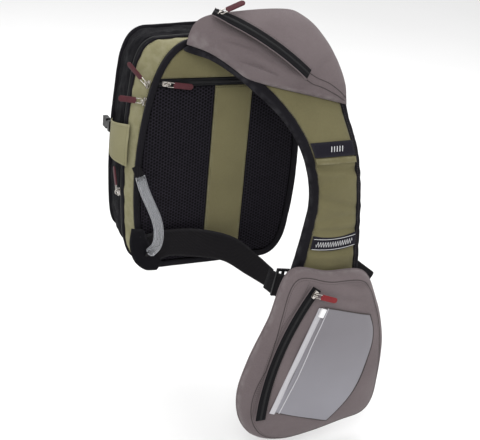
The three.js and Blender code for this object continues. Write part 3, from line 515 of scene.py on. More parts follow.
# ---- curves
def catmull(points, u, closed=False):
    # centripetal Catmull-Rom: knots apart by the square root of the distance, ends carried on by reflection
    p = np.asarray(points, float)
    n = len(p)
    if closed:
        whole = np.vstack([p[-1], p, p[0], p[1]])
        place = np.asarray(u) * n
    else:
        whole = np.vstack([2 * p[0] - p[1], p, 2 * p[-1] - p[-2]])
        place = np.asarray(u) * (n - 1)
    k = np.clip(np.floor(place).astype(int), 0, (n if closed else n - 1) - 1)
    t = (place - k)[..., None]
    x0, x1, x2, x3 = (whole[k + i] for i in range(4))
    pairs = (x0, x1), (x1, x2), (x2, x3)
    d0, d1, d2 = (np.sqrt(np.linalg.norm(b - a, axis=-1, keepdims=True)) for a, b in pairs)
    m1 = ((x1 - x0) / d0 - (x2 - x0) / (d0 + d1) + (x2 - x1) / d1) * d1
    m2 = ((x2 - x1) / d1 - (x3 - x1) / (d1 + d2) + (x3 - x2) / d2) * d1
    return x1 + m1 * t + (3 * (x2 - x1) - 2 * m1 - m2) * t**2 + (2 * (x1 - x2) + m1 + m2) * t**3


def between(points, u):  # uniform Catmull-Rom with the end points doubled
    p = np.asarray(points, float)
    whole = np.vstack([p[0], p, p[-1]])
    place = np.asarray(u) * (len(p) - 1)
    k = np.clip(np.floor(place).astype(int), 0, len(p) - 2)
    t = (place - k)[..., None]
    x0, x1, x2, x3 = (whole[k + i] for i in range(4))
    m1, m2 = (x2 - x0) / 2, (x3 - x1) / 2
    return x1 + m1 * t + (3 * (x2 - x1) - 2 * m1 - m2) * t**2 + (2 * (x1 - x2) + m1 + m2) * t**3


# ---- the bag's outline
panelShape = {
    "middle": 3.5, "halfWide": 125, "sideRadius": 580, "midHeight": 134, "sideLow": 60, "sideHigh": 240,
    "baseHalf": 80, "baseReach": 26, "lowReach": 36, "highReach": 45, "topReach": 36, "topHalf": 56,
    "topHeight": 338, "crown": 344,
}
bodyShape = {
    "middle": 0, "halfWide": 129.5, "sideRadius": 1100, "midHeight": 145, "sideLow": 45, "sideHigh": 286,
    "baseHalf": 92, "baseReach": 24, "lowReach": 26, "highReach": 25, "topReach": 20, "topHalf": 88,
    "topHeight": 333, "crown": 338,
}
baseRise = {"from": 31, "to": 97, "most": 26, "reach": 110}
outlineCount = 416


def sideX(s, z):  # half width at a height on a side arc
    return np.sqrt(s["sideRadius"] ** 2 - (z - s["midHeight"]) ** 2) - s["sideRadius"] + s["halfWide"]


def bezier(a, b, c, d):  # a cubic bezier in 60 steps
    t = np.linspace(0, 1, 61)[:, None]
    a, b, c, d = (np.array(p, float) for p in (a, b, c, d))
    return (1 - t) ** 3 * a + 3 * t * (1 - t) ** 2 * b + 3 * t**2 * (1 - t) * c + t**3 * d


def outlineOf(s):
    # right half from the middle of the base to the crown: flat base, corner bezier, side arc, corner bezier,
    # parabola over the top; the left half is its mirror image, and the whole is spaced evenly
    lowX, highX = sideX(s, s["sideLow"]), sideX(s, s["sideHigh"])
    lean = s["highReach"] * math.tan(math.asin((s["sideHigh"] - s["midHeight"]) / s["sideRadius"]))
    topZ = s["topHeight"] - s["topReach"] * 2 * (s["crown"] - s["topHeight"]) / s["topHalf"]
    corner = bezier((s["baseHalf"], 0), (s["baseHalf"] + s["baseReach"], 0),
                    (lowX - 3, s["sideLow"] - s["lowReach"]), (lowX, s["sideLow"]))
    z = np.linspace(s["sideLow"], s["sideHigh"], 80)
    side = np.stack([sideX(s, z), z], -1)
    shoulder = bezier((highX, s["sideHigh"]), (highX - lean, s["sideHigh"] + s["highReach"]),
                      (s["topHalf"] + s["topReach"], topZ), (s["topHalf"], s["topHeight"]))
    x = np.linspace(s["topHalf"], 0, 30)
    rise = 1 - x / s["topHalf"]
    crown = np.stack([x, s["topHeight"] + (s["crown"] - s["topHeight"]) * rise], -1)
    half = np.concatenate([[[0, 0]], corner, side[1:], shoulder[1:], crown[1:]])
    left = half[::-1] * [-1, 1]
    whole = np.concatenate([half, left[1:]])
    shift = s["baseHalf"]
    run = lengths(whole)
    at = (np.arange(outlineCount) / outlineCount * run[-1] - shift) % run[-1]
    points = np.stack([np.interp(at, run, whole[:, k]) for k in range(2)], -1)
    points[:, 0] += s["middle"]
    return points


panelPoints, bodyPoints = outlineOf(panelShape), outlineOf(bodyShape)


def outward(points):  # the outline's outward normals, from its neighbours
    along = unit(np.roll(points, -2, 0) - np.roll(points, 2, 0))
    return np.stack([along[:, 1], -along[:, 0]], -1)


def outlineAt(y):  # panel to body by a smooth step over the rear gusset, with a base that rises to the front
    points = panelPoints + (bodyPoints - panelPoints) * smooth(y, 6, 26.4)
    rise = baseRise["most"] * max(0, (y - baseRise["from"]) / (baseRise["to"] - baseRise["from"]))
    points = points.copy()
    points[:, 1] += rise * np.clip(1 - points[:, 1] / baseRise["reach"], 0, None) ** 2
    return points


def aroundBag(y, out=0.0):  # a closed loop of points round the bag at a depth, and its normals
    points = outlineAt(y)
    normal = outward(points)
    at = points + np.reshape(out, (-1, 1)) * normal
    return np.stack([at[:, 0], np.full(len(at), float(y)), at[:, 1]], -1), np.stack(
        [normal[:, 0], np.zeros(len(at)), normal[:, 1]], -1)


def band(name, profile, material, slot, wrinkle=0.0, seed=1, nodes=(), size=22):
    # a profile of (depth, out) points carried round the bag; ripples move its outer points in and out
    rows = []
    for k, (y, out) in enumerate(profile):
        moved = wrinkle * ripple(np.arange(outlineCount) * 2.8, y * 2.0, seed, size) if out > -1 else 0
        rows.append(aroundBag(y, out + moved * np.ones(outlineCount))[0])
    points = np.stack(rows, 1)
    rowsN, cols = points.shape[:2]
    run = lengths(np.vstack([points[:, 0], points[:1, 0]]))[:-1]
    around = lengths(np.array(profile, float))
    uv = np.stack(np.meshgrid(run, around, indexing="ij"), -1).reshape(-1, 2) / 1000
    peak = max(out for _, out in profile)
    edge = np.broadcast_to([0.8 if out > peak - 0.4 else 0.0 for _, out in profile], (rowsN, cols))
    made = putMesh(name, points.reshape(-1, 3), gridFaces(rowsN, cols, True, True), material, "bag", slot, uv,
                   edge)
    if nodes:
        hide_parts(*nodes)
    return made


# a superellipse section between two depths and two offsets
def roundBar(y0, y1, low, high, steps=16, power=2.6):
    a = np.arange(steps) * math.tau / steps
    c, s = np.cos(a), np.sin(a)
    y = (y0 + y1) / 2 + (y1 - y0) / 2 * np.sign(c) * np.abs(c) ** (2 / power)
    out = (low + high) / 2 + (high - low) / 2 * np.sign(s) * np.abs(s) ** (2 / power)
    return list(zip(y, out))


print("helpers ready")

# ---- back panel: spacer mesh either side of a stitched olive strip, a zipped pocket and a top band
backPanel = {
    "inset": 6, "zipLow": 274, "zipHigh": 285, "left": -11, "right": 47, "face": 3.0, "puff": 1.3,
    "pore": 4.2, "poreDepth": 0.9,
}
panelInset = panelPoints - backPanel["inset"] * outward(panelPoints)


def insetX(z, side):  # where the inset outline lies at a height, left (-1) or right (1)
    half = panelInset[(panelInset[:, 0] - panelShape["middle"]) * side > 0]
    half = half[np.argsort(half[:, 1], kind="stable")]
    return np.interp(z, half[:, 1], half[:, 0])


def plaque(name, face, base, material, body, slot, steps, power=(40, 30), uvOf=None, edge=0.006):
    # a face of (u, v) that rounds down to a flat base along its rim, closed behind by a fan
    u, v = np.meshgrid(spaced(steps[0], 0.6), spaced(steps[1], 0.6), indexing="ij")
    top, low = face(u, v), base(u, v)
    top = low + (top - low) * (rounded(u, power[0]) * rounded(v, power[1]))[..., None]
    rows, cols = u.shape
    index = np.arange(rows * cols).reshape(rows, cols)
    rim = np.concatenate([index[0, :-1], index[:-1, -1], index[-1, :0:-1], index[:0:-1, 0]])
    points = np.concatenate([top.reshape(-1, 3), top.reshape(-1, 3)[rim].mean(0)[None]])
    fan = np.stack([np.full(len(rim), rows * cols), rim, np.roll(rim, -1)], -1)
    uv = uvOf(points) if uvOf else points[:, [0, 2]] / 1000
    long = np.linalg.norm(top[-1, cols // 2] - top[0, cols // 2]) / 1000
    wide = np.linalg.norm(top[rows // 2, -1] - top[rows // 2, 0]) / 1000
    worn = 1 - smooth(np.minimum(np.minimum(u, 1 - u) * long, np.minimum(v, 1 - v) * wide), 0, edge)
    quads = gridFaces(rows, cols)
    a, b = points[quads[0, 0]], points[quads[0, 1]]
    c = points[quads[0, 2]]
    if np.dot(np.cross(b - a, c - a), np.cross(*(points[fan[0, k]] - points[fan[0, 0]] for k in (1, 2)))) > 0:
        fan = fan[:, ::-1]
    return putMesh(name, points, quads, material, body, slot, uv, np.append(worn.ravel(), 0), fan)


def pores(x, z, pitch):  # three crossed cosines 60 degrees apart: 1 in a pore's middle, 0 on the ribs
    rate = math.tau / pitch
    total = np.cos(rate * x) + np.cos(rate * (x / 2 + 0.866 * z)) + np.cos(rate * (0.866 * z - x / 2))
    return np.clip((total + 0.6) / 2.6, 0, 1)


def addBackSkin(name, lowX, highX, z0, z1, material, slot, steps, meshed=False, puff=0.0, seed=3):
    s = backPanel

    def place(u, v, y):
        z = z0 + (z1 - z0) * u
        x = lowX(z) + (highX(z) - lowX(z)) * v
        return np.stack([x, np.broadcast_to(y, x.shape), z], -1)

    def face(u, v):
        crowned = 16 * u * (1 - u) * v * (1 - v)
        p = place(u, v, -gap - s["face"])
        p[..., 1] -= puff * np.sqrt(crowned) + 0.35 * ripple(p[..., 0], p[..., 2], seed, 60)
        if meshed:
            p[..., 1] += s["poreDepth"] * pores(p[..., 0], p[..., 2], s["pore"])
        return p

    made = plaque(name + "_cloth", face, lambda u, v: place(u, v, -gap), material, "bag", slot, steps)
    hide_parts(name)
    return made


def addBackPanel():
    s = backPanel
    flatX = lambda x: (lambda z: np.full_like(z, float(x)))
    left, right = (lambda z: insetX(z, -1)), (lambda z: insetX(z, 1))
    below = (6.1, s["zipLow"] - gap)
    addBackSkin("back_mesh_left", left, flatX(s["left"] - gap), *below, spacer, "mesh_fabric", (330, 140),
                True, s["puff"])
    addBackSkin("back_mesh_right", flatX(s["right"] + gap), right, *below, spacer, "mesh_fabric", (330, 96),
                True, s["puff"])
    addBackSkin("back_centre_strip", flatX(s["left"]), flatX(s["right"]), *below, cloth["olive"],
                "olive_fabric", (120, 30), False, 0.5)
    addBackSkin("back_pocket_zip", left, right, s["zipLow"], s["zipHigh"], tape, "zip_tape", (12, 120), False,
                0.2)
    top = float(panelInset[:, 1].max()) - 0.3
    addBackSkin("back_top_band", left, right, s["zipHigh"] + gap, top, cloth["olive"], "olive_fabric",
                (40, 120), False, 0.8)
    y = -gap - s["face"]
    wearer = np.array([0.0, -1, 0])
    for k, x in enumerate((s["left"] + 2.2, s["right"] - 2.2)):
        z = np.linspace(9, 271, 200)
        line = np.stack([np.full_like(z, x), np.full_like(z, y - 0.35), z], -1)
        stitches(f"centre_strip_stitches_{k + 1}", line, wearer, cloth["seamOlive"], "bag", "olive_fabric")
    for k, z0 in enumerate((271.0, 287.6)):
        x = np.linspace(float(insetX(z0, -1)) + 5, float(insetX(z0, 1)) - 5, 200)
        line = np.stack([x, np.full_like(x, y - 0.55), np.full_like(x, z0)], -1)
        stitches(f"back_zip_stitches_{k + 1}", line, wearer, cloth["seamOlive" if k else "binding"], "bag",
                 "olive_fabric")
    z0 = (s["zipLow"] + s["zipHigh"]) / 2
    x = np.linspace(-100, 100, 60)
    line = np.stack([x, np.full_like(x, y - 0.2), np.full_like(x, z0)], -1)
    addCoil("back_zip_coil", line, wearer, "bag")


coilSettings = {"wide": 2.1, "high": 0.75, "pitch": 1.7, "step": 0.42}


def addCoil(name, path, normal, body, closed=False, s=coilSettings):
    # two rows of coil turns: a half-round section whose height follows |sin|, offset half a turn side to side
    count = int(lengths(path)[-1] / s["step"])
    at, out = evenly(path, count, np.broadcast_to(normal, path.shape))
    out = unit(out)
    run = lengths(at)[:, None]
    a = np.linspace(0, math.tau, 11)[None, :-1]
    left = np.cos(a) < 0
    turn = np.abs(np.sin(math.pi * run / s["pitch"] + np.where(left, 0, math.pi / 2)))
    middle = 1 - 0.45 * np.exp(-((np.cos(a) / 0.18) ** 2))
    high = s["high"] * (0.45 + 0.55 * turn) * middle
    across = s["wide"] * np.cos(a) * (0.86 + 0.14 * turn)
    coilRise = np.where(np.sin(a) > 0, high * np.sin(a), 0.25 * np.sin(a)) * np.ones_like(run)
    section = np.stack([across, coilRise], -1)
    return sweep(name, at, out, section, coil, body, "zip_tape", closed)


# ---- rings round the bag
ringSettings = {"wrinkle": 0.55, "gussetWrinkle": 0.9}


def addRings(s=ringSettings):
    pipe = s["wrinkle"] * 0.45
    band("panel_piping_cloth", roundBar(-6, 0, -5.6, 3.5, 20), cloth["binding"], "binding", pipe, 11,
         ["panel_piping"], 34)
    band("main_rear_piping_cloth", roundBar(26.4, 31, -4, 3, 16, 2.2), cloth["binding"], "binding", pipe, 12,
         ["main_rear_piping"], 30)
    band("main_front_piping_cloth", roundBar(90.4, 97, -5, 3.5, 18, 2.3), cloth["binding"], "binding", pipe,
         13, ["main_front_piping"], 30)
    band("rear_zip_tape", roundBar(0.4, 6, -4, 0.95, 14, 6), tape, "zip_tape", 0.1, 14, ["rear_zip"])
    band("main_zip_tape", roundBar(36.4, 44, -3, 0.65, 14, 6), tape, "zip_tape", 0.1, 15, ["main_zip"])
    gusset = [(6.4, -2), (6.4, -0.3)] + [(y, 0.1 + 0.5 * math.sin(math.pi * (y - 6.4) / 19.6))
                                         for y in np.linspace(6.9, 25.5, 12)]
    band("rear_gusset_cloth", gusset + [(26, -0.3), (26, -2)], cloth["oliveSide"], "olive_fabric",
         s["gussetWrinkle"], 16, ["rear_gusset"])
    rear = [(31.4, -2), (31.4, -0.2), (32.2, 0.2), (33.7, 0.3), (35.2, 0.2), (36, -0.2), (36, -2)]
    band("main_gusset_rear_cloth", rear, cloth["black"], "black_fabric", 0.2, 17, ["main_gusset_rear"])
    front = [(44.4, -2), (44.4, -0.2)] + [(y, 0.2 + 1.4 * math.sin(math.pi * (y - 44.4) / 45.6))
                                          for y in np.linspace(45.4, 89, 18)]
    band("main_gusset_front_cloth", front + [(90, -0.2), (90, -2)], cloth["black"], "black_fabric", 1.5, 18,
         ["main_gusset_front"], 30)
    for name, y, out in (("rear_zip_coil", 3.4, 0.9), ("main_zip_coil", 40.2, 0.6)):
        loop, normal = aroundBag(y, out)
        addCoil(name, loop, normal, "bag", True)
    for k, (y, out) in enumerate(((8.4, 0.55), (24.2, 0.5))):
        loop, normal = aroundBag(y, out)
        stitches(f"gusset_stitches_{k + 1}", loop, normal, cloth["seamOlive"], "bag", "olive_fabric")
    for k, (y, out) in enumerate(((46.6, 0.6), (88.2, 0.4))):
        loop, normal = aroundBag(y, out)
        stitches(f"body_stitches_{k + 1}", loop, normal, cloth["binding"], "bag", "black_fabric")


# ---- domed pockets
def dome(name, centre, radiusAt, frontY, backY, material, body, slot, spokes=260, rings=44, wear=0.03):
    # rings of radiusAt(angle) round a centre; frontY and backY give each face's y from (x, z, share)
    share = np.sin(np.linspace(0, math.pi / 2, rings + 1))[1:][::-1, None]
    angle = (np.arange(spokes) * math.tau / spokes)[None]
    r = share * radiusAt(angle)
    x, z = centre[0] + r * np.cos(angle), centre[1] + r * np.sin(angle)
    whole = share * np.ones_like(x)
    front = np.stack([x, frontY(x, z, whole), z], -1)
    back = np.stack([x, backY(x, z, whole), z], -1)[1:]
    heart = np.array(centre[0]), np.array(centre[1]), np.array(0.0)
    middle = lambda y: np.array([[centre[0], float(y(*heart)), centre[1]]])
    points = np.concatenate([front.reshape(-1, 3), middle(frontY), back.reshape(-1, 3), middle(backY)])
    n, half = rings * spokes, rings * spokes + 1
    quads = gridFaces(rings, spokes, False, True)
    j = np.arange(spokes)
    k = (j + 1) % spokes
    under = gridFaces(rings - 1, spokes, False, True)[:, ::-1] + half
    join = np.stack([j, half + j, half + k, k], -1)
    fan = np.stack([np.full(spokes, n), (rings - 1) * spokes + j, (rings - 1) * spokes + k], -1)[:, ::-1]
    last = half + (rings - 2) * spokes
    fanUnder = np.stack([np.full(spokes, half + (rings - 1) * spokes), last + j, last + k], -1)
    edge = np.concatenate([smooth(whole, 1 - wear, 1).ravel(), [0], smooth(whole[1:], 1 - wear, 1).ravel(),
                           [0]])
    faces = np.concatenate([quads, join, under])
    return putMesh(name, points, faces, material, body, slot, points[:, [0, 2]] / 1000, edge,
                   np.concatenate([fan, fanUnder]))


frontPocket = {"x": 0, "z": 140, "halfWide": 100, "halfTall": 98, "power": 5, "from": 95.4, "depth": 38,
               "rim": 3,
               "zipZ": 200, "zipReach": 72, "sag": 2.6}


def frontRadius(angle):  # a superellipse's radius: (|cos/a|^p + |sin/b|^p)^(-1/p)
    s = frontPocket
    a, b = np.abs(np.cos(angle)) / s["halfWide"], np.abs(np.sin(angle)) / s["halfTall"]
    return (a ** s["power"] + b ** s["power"]) ** (-1 / s["power"])


def frontPocketY(x, z, share):  # a dome of power 7, rippled, and sagging outwards low down
    s = frontPocket
    high = np.sqrt(np.clip(1 - share**7, 0, 1))
    loose = 1.6 * ripple(x, z, 31, 70) + s["sag"] * np.exp(-(((z - 95) / 50) ** 2))
    return s["from"] + s["rim"] + high * (s["depth"] - s["rim"] + loose * high - 0.8)


def onFrontPocket(x, z, lift=0.0):  # a point on the pocket's face over (x, z)
    s = frontPocket
    dx, dz = x - s["x"], z - s["z"]
    share = np.clip(np.hypot(dx, dz) / frontRadius(np.arctan2(dz, dx)), 0, 1)
    return np.stack([x, frontPocketY(x, z, share) + lift, z], -1)


def addFront():
    s = frontPocket
    rim = outlineAt(95)
    rim = rim - 5.4 * outward(rim)
    centre = (0.0, 175.0)
    polar = np.arctan2(rim[:, 1] - centre[1], rim[:, 0] - centre[0]) % math.tau
    order = np.argsort(polar)
    far = np.hypot(rim[:, 0] - centre[0], rim[:, 1] - centre[1])
    radius = lambda a: np.interp(a % math.tau, polar[order], far[order], period=math.tau)
    faceCrown = lambda share: np.sqrt(np.clip(1 - share**10, 0, 1))
    face = lambda x, z, share: 94.4 + 1.4 * faceCrown(share) * (1 + 0.3 * ripple(x, z, 33, 80))
    panel = dome("front_panel_cloth", centre, radius, face, lambda x, z, share: 92 + 0 * share,
                 cloth["black"], "bag", "black_fabric", 240, 26)
    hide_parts("front_panel")
    pocket = dome("front_pocket_cloth", (s["x"], s["z"]), frontRadius, frontPocketY,
                  lambda x, z, share: s["from"] + 0 * share, cloth["olive"], "bag", "olive_fabric", 280, 50)
    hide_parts("front_pocket")
    away = np.array([0.0, 1, 0])
    x = np.linspace(-s["zipReach"], s["zipReach"], 80)
    line = onFrontPocket(x, np.full_like(x, s["zipZ"]), 0.9)
    section = np.array(roundBar(-6, 6, -0.8, 0.35, 14, 6))
    zipTape = sweep("front_pocket_zip_tape", line, away, section, tape, "bag", "zip_tape")
    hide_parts("front_pocket_zip")
    addCoil("front_pocket_coil", line + [0, 0.3, 0], away, "bag")
    for k, dz in enumerate((-7.6, 7.6)):
        path = onFrontPocket(x, np.full_like(x, s["zipZ"] + dz), 0.5)
        stitches(f"front_zip_stitches_{k + 1}", path, away, cloth["seamOlive"], "bag", "olive_fabric")
    angle = np.arange(360) * math.tau / 360
    edge = 0.93 * frontRadius(angle)
    path = onFrontPocket(s["x"] + edge * np.cos(angle), s["z"] + edge * np.sin(angle), 0.2)
    stitches("front_pocket_rim_stitches", path, away, cloth["seamOlive"], "bag", "olive_fabric")
    seamCord("front_pocket_piping", onFrontPocket(s["x"] + 0.995 * frontRadius(angle) * np.cos(angle),
             s["z"] + 0.995 * frontRadius(angle) * np.sin(angle), -1.0), away, cloth["binding"], "bag",
             "binding", 1.9, 0, True)
    pad = {"halfX": 76, "from": 33, "to": 88, "drop": 1.7, "thick": 3.6}
    slope = baseRise["most"] / (baseRise["to"] - baseRise["from"])

    def padAt(u, v, drop):
        y = pad["from"] + (pad["to"] - pad["from"]) * v
        return np.stack([pad["halfX"] * (2 * u - 1), y, (y - baseRise["from"]) * slope - drop], -1)

    ribs = lambda u: 0.5 * np.abs(np.sin(math.pi * 19 * u))
    base = cushion("base_pad_cloth", lambda u, v: padAt(u, v, pad["drop"] + pad["thick"] - ribs(u)), lambda u,
                   v: padAt(u, v, pad["drop"]),
                   cloth["black"], "bag", "black_fabric", (160, 24), (60, 30))
    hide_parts("base_pad")


# ---- side tabs, buckles, hard pieces
tabSettings = {"root": (153, 216), "tip": (160, 206), "from": 15, "to": 76, "rise": 5.4, "lift": 10,
               "thick": 2}


def addTab(name, side, s=tabSettings):
    # a flap that leaves the body at its root, bows out by sin(pi u) and ends at the buckle
    def at(u, v, height):
        low = s["root"][0] + (s["tip"][0] - s["root"][0]) * u
        high = s["root"][1] + (s["tip"][1] - s["root"][1]) * u
        z = low + (high - low) * v
        out = sideX(bodyShape, z) + 0.6 + s["rise"] * u + s["lift"] * np.sin(math.pi * u) + height
        out = out + 0.35 * ripple(z, 60 * u, 41, 30)
        return np.stack([side * out, s["from"] + (s["to"] - s["from"]) * u, z], -1)

    flap = cushion(name + "_cloth", lambda u, v: at(u, v, 0.2), lambda u, v: at(u, v, s["thick"]),
                   cloth["oliveSide"],
                   "bag", "olive_fabric", (40, 34), (40, 40))
    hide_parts(name)
    u = np.linspace(0.04, 0.97, 90)
    for k, v in enumerate((0.07, 0.93)):
        path = at(u, np.full_like(u, v), s["thick"])
        stitches(f"{name}_stitches_{k + 1}", path, np.array([side, 0.0, 0]), cloth["seamOlive"], "bag",
                 "olive_fabric")
    v = np.linspace(0.03, 0.97, 40)
    for k, u in enumerate((0.05, 0.86, 0.94)):
        path = at(np.full_like(v, u), v, s["thick"])
        stitches(f"{name}_cross_stitches_{k + 1}", path, np.array([side, 0.0, 0]), cloth["seamOlive"], "bag",
                 "olive_fabric")
    edge = at(np.full_like(v, 1.0), v, 1.0)
    seamCord(name + "_end_binding", edge, np.array([side, 0.0, 0]), cloth["binding"], "bag", "binding", 1.7)


def softened(name, node, material, body, bevel):
    # a hard piece: the frame's own solid with its doubles merged, its flats made whole and its edges rounded
    mesh = frame["nodes"][node].data.copy()
    work = bmesh.new()
    work.from_mesh(mesh)
    bmesh.ops.remove_doubles(work, verts=work.verts, dist=1e-6)
    bmesh.ops.dissolve_limit(work, angle_limit=0.01, verts=work.verts, edges=work.edges)
    work.to_mesh(mesh)
    work.free()
    mesh.materials.clear()
    mesh.materials.append(material)
    made = bpy.data.objects.new(name, mesh)
    bpy.context.scene.collection.objects.link(made)
    rounding = made.modifiers.new("round", "BEVEL")
    rounding.width, rounding.segments, rounding.limit_method, rounding.angle_limit = bevel, 3, "ANGLE", 0.5
    rounding.harden_normals = False
    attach(made, body)
    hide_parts(node)
    return made


def addHardPieces():
    for side in ("left", "right"):
        softened(side + "_socket_body", side + "_buckle_socket", blackPlastic, "bag",
                 0.0005)
        softened(side + "_clip_body", side + "_buckle_clip", blackPlastic, side + "_clip",
                 0.0004)
    softened("adjuster_body", "strap_adjuster", blackPlastic, "strap", 0.0008)
    softened("window_slider_body", "window_slider", whitePlastic, "window_slider", 0.0012)
    for node in ("back_foam", "back_stiffener"):
        held = frame["nodes"][node]
        held.data.materials.clear()
        held.data.materials.append(foam)


# ---- clear tube and webbing
tubeSettings = {
    "outer": 7.0, "inner": 5.2,
    "path": [[-120, -14, 149], [-114, -21, 127], [-106, -29, 107], [-98, -33, 86], [-94, -32, 65],
             [-95, -28, 45], [-102, -22, 32]],
}


def addTube(s=tubeSettings):
    path = catmull(s["path"], np.linspace(0, 1, 110))
    normal = np.array([0.0, -1, 0])
    a = np.linspace(0, math.tau, 33)[:-1]
    outer = s["outer"] * np.stack([np.cos(a), np.sin(a)], -1)
    inner = s["inner"] * np.stack([np.cos(a), np.sin(a)], -1)
    tangent = unit(np.gradient(path, axis=0))
    side = unit(np.cross(tangent, np.broadcast_to(normal, path.shape)))
    above = unit(np.cross(side, tangent))
    wall = lambda shape: (path[:, None] + shape[None, :, :1] * side[:, None]
                          + shape[None, :, 1:] * above[:, None])
    out, inn = wall(outer), wall(inner)
    points = np.concatenate([out.reshape(-1, 3), inn.reshape(-1, 3)])
    rows, cols = out.shape[:2]
    quads = gridFaces(rows, cols, False, True)
    j = np.arange(cols)
    k = (j + 1) % cols
    n, last = rows * cols, (rows - 1) * cols
    first = np.stack([j, n + j, n + k, k], -1)
    end = np.stack([last + j, last + k, n + last + k, n + last + j], -1)
    uv = np.stack(np.meshgrid(lengths(path), a * s["outer"], indexing="ij"), -1).reshape(-1, 2) / 1000
    tubeFaces = np.concatenate([quads, quads[:, ::-1] + n, first[:, ::-1], end[:, ::-1]])
    tube = putMesh("clear_tool_tube", points, tubeFaces,
                   clearTube, "bag", "clear_tube", np.concatenate([uv, uv]))
    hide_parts("tool_tube")
    for k, (at, to) in enumerate(((path[0], path[0] + [-4, 9, 12]), (path[-1], path[-1] + [2, 12, -12]))):
        line = catmull([at + 0.35 * (at - to), at, to], np.linspace(0, 1, 16))
        section = ring(14, s["outer"] * 0.9, 1.2)
        sweep(f"tube_anchor_{k + 1}", line, normal, section, webbing, "bag", "webbing")


webbingSettings = {
    "thick": 2,
    "upper": [[-116, -11, 55], [-77, -14, 62], [-24, -19, 60], [30, -28, 44], [58, -50, 23], [70, -84, 14]],
    "lower": [[-94, -11, 4], [-72, -13, 18], [-36, -16, 15], [14, -25, 6], [42, -48, -8], [64, -82, -16]],
}


def addWebbing(s=webbingSettings):
    def at(u, v, height):
        a, b = catmull(s["upper"], u), catmull(s["lower"], u)
        along = catmull(s["upper"], np.minimum(1, u + 0.01)) - catmull(s["upper"], np.maximum(0, u - 0.01))
        normal = unit(np.cross(b - a, along))
        ribs = 0.16 * np.abs(np.sin(math.pi * 9 * v))
        webRise = height * (1 + ribs) + 0.5 * ripple(90 * u, 20 * v, 51, 60)
        return a + (b - a) * v[..., None] + webRise[..., None] * normal

    half = s["thick"] / 2
    made = cushion("cross_webbing", lambda u, v: at(u, v, -half), lambda u, v: at(u, v, half), webbing, None,
                   "webbing", (150, 60), (120, 50))
    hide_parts("sling_webbing")
    tuple(toRow([-60, -14, 40]))
    tuple(toRow([52, -56, 10]))
    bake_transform(made)
    upper = [[64, -81, 15], [72, -101.6, 16], [84, -108, 14], [98, -112, 8]]
    lower = [[58, -79, -17], [66, -101.6, -20], [78, -108, -24], [92, -112, -30]]

    def tailAt(u, v, height):  # from the cross webbing's end over the adjuster's face to the pocket
        a, b = catmull(upper, u), catmull(lower, u)
        p = a + (b - a) * v[..., None]
        p[..., 1] -= height * (1 + 0.16 * np.abs(np.sin(math.pi * 9 * v)))
        return p

    cushion("webbing_tail", lambda u, v: tailAt(u, v, -0.8), lambda u, v: tailAt(u, v, 0.8), webbing, "strap",
            "webbing",
            (50, 50), (60, 50))
    wing = [[-127, -7, 66], [-129, -8, 40], [-121, -9, 14], [-104, -9, -2], [-86, -11, -4]]
    inner = [[-110, -13, 66], [-104, -14.5, 50], [-94, -15, 32], [-86, -15, 18], [-78, -14, 10]]

    def wingAt(u, v, height):
        a, b = catmull(wing, u), catmull(inner, u)
        p = a + (b - a) * v[..., None]
        p[..., 1] -= height + 0.8 * ripple(p[..., 0], p[..., 2], 52, 26)
        return p

    flap = cushion("corner_wing", lambda u, v: wingAt(u, v, -0.9), lambda u, v: wingAt(u, v, 0.9),
                   cloth["black"], "bag", "black_fabric", (50, 26), (40, 30))
    u = np.linspace(0.05, 0.95, 60)
    stitches("corner_wing_stitches", wingAt(u, np.full_like(u, 0.14), 0.9), np.array([0.0, -1, 0]),
             cloth["binding"], "bag", "black_fabric")
    return flap


# ---- shoulder strap
strapSettings = {
    "thick": 12, "crown": 4, "innerBinding": 0.165, "outerBinding": 0.105, "hair": 0.011,
    "inner": [[-66, -11, 334], [-36, -32, 325], [10, -64, 294], [56, -96, 250], [82, -114, 203],
              [96, -122, 140], [91, -121, 80], [80, -118, 12]],
    "outer": [[110, -11, 340], [134, -32, 334], [152, -64, 300], [157, -92, 253], [169, -113, 203],
              [178, -122, 140], [186, -121, 80], [195, -118, 8]],
    # folds across the strap: station, slant, width and depth
    "folds": [(0.618, 0.02, 0.012, 3.6), (0.655, -0.05, 0.014, 1.6),
              (0.735, 0.06, 0.012, 2.2), (0.795, -0.02, 0.016, 1.8), (0.838, 0.01, 0.010, 2.4),
              (0.905, 0.01, 0.012, 2.2)],
}


def strapNormal(u, v):  # along the strap crossed with across it
    s = strapSettings
    u0, u1 = np.maximum(0, u - 0.01), np.minimum(1, u + 0.01)
    mid = lambda w: catmull(s["inner"], w) + (catmull(s["outer"], w) - catmull(s["inner"], w)) * v[..., None]
    return unit(np.cross(mid(u1) - mid(u0), catmull(s["outer"], u) - catmull(s["inner"], u)))


# between the edges, out along the normal by a crown of 16 v (1 - v) and the height
def onStrap(u, v, height):
    s = strapSettings
    u, v = np.broadcast_arrays(np.asarray(u, float), np.asarray(v, float))
    a, b = catmull(s["inner"], u), catmull(s["outer"], u)
    lift = s["crown"] * 4 * v * (1 - v) + height
    return a + (b - a) * v[..., None] + lift[..., None] * strapNormal(u, v)


def strapFolds(u, v):  # soft valleys across the strap and a broad ripple along it
    total = 0.55 * ripple(430 * u, 85 * v, 61, 60)
    for station, slant, wide, deep in strapSettings["folds"]:
        away = (u - station - slant * (v - 0.5)) / wide
        total = total - deep * np.exp(-(away**2)) + 0.5 * deep * np.exp(-((away - 1.9) ** 2))
    return total


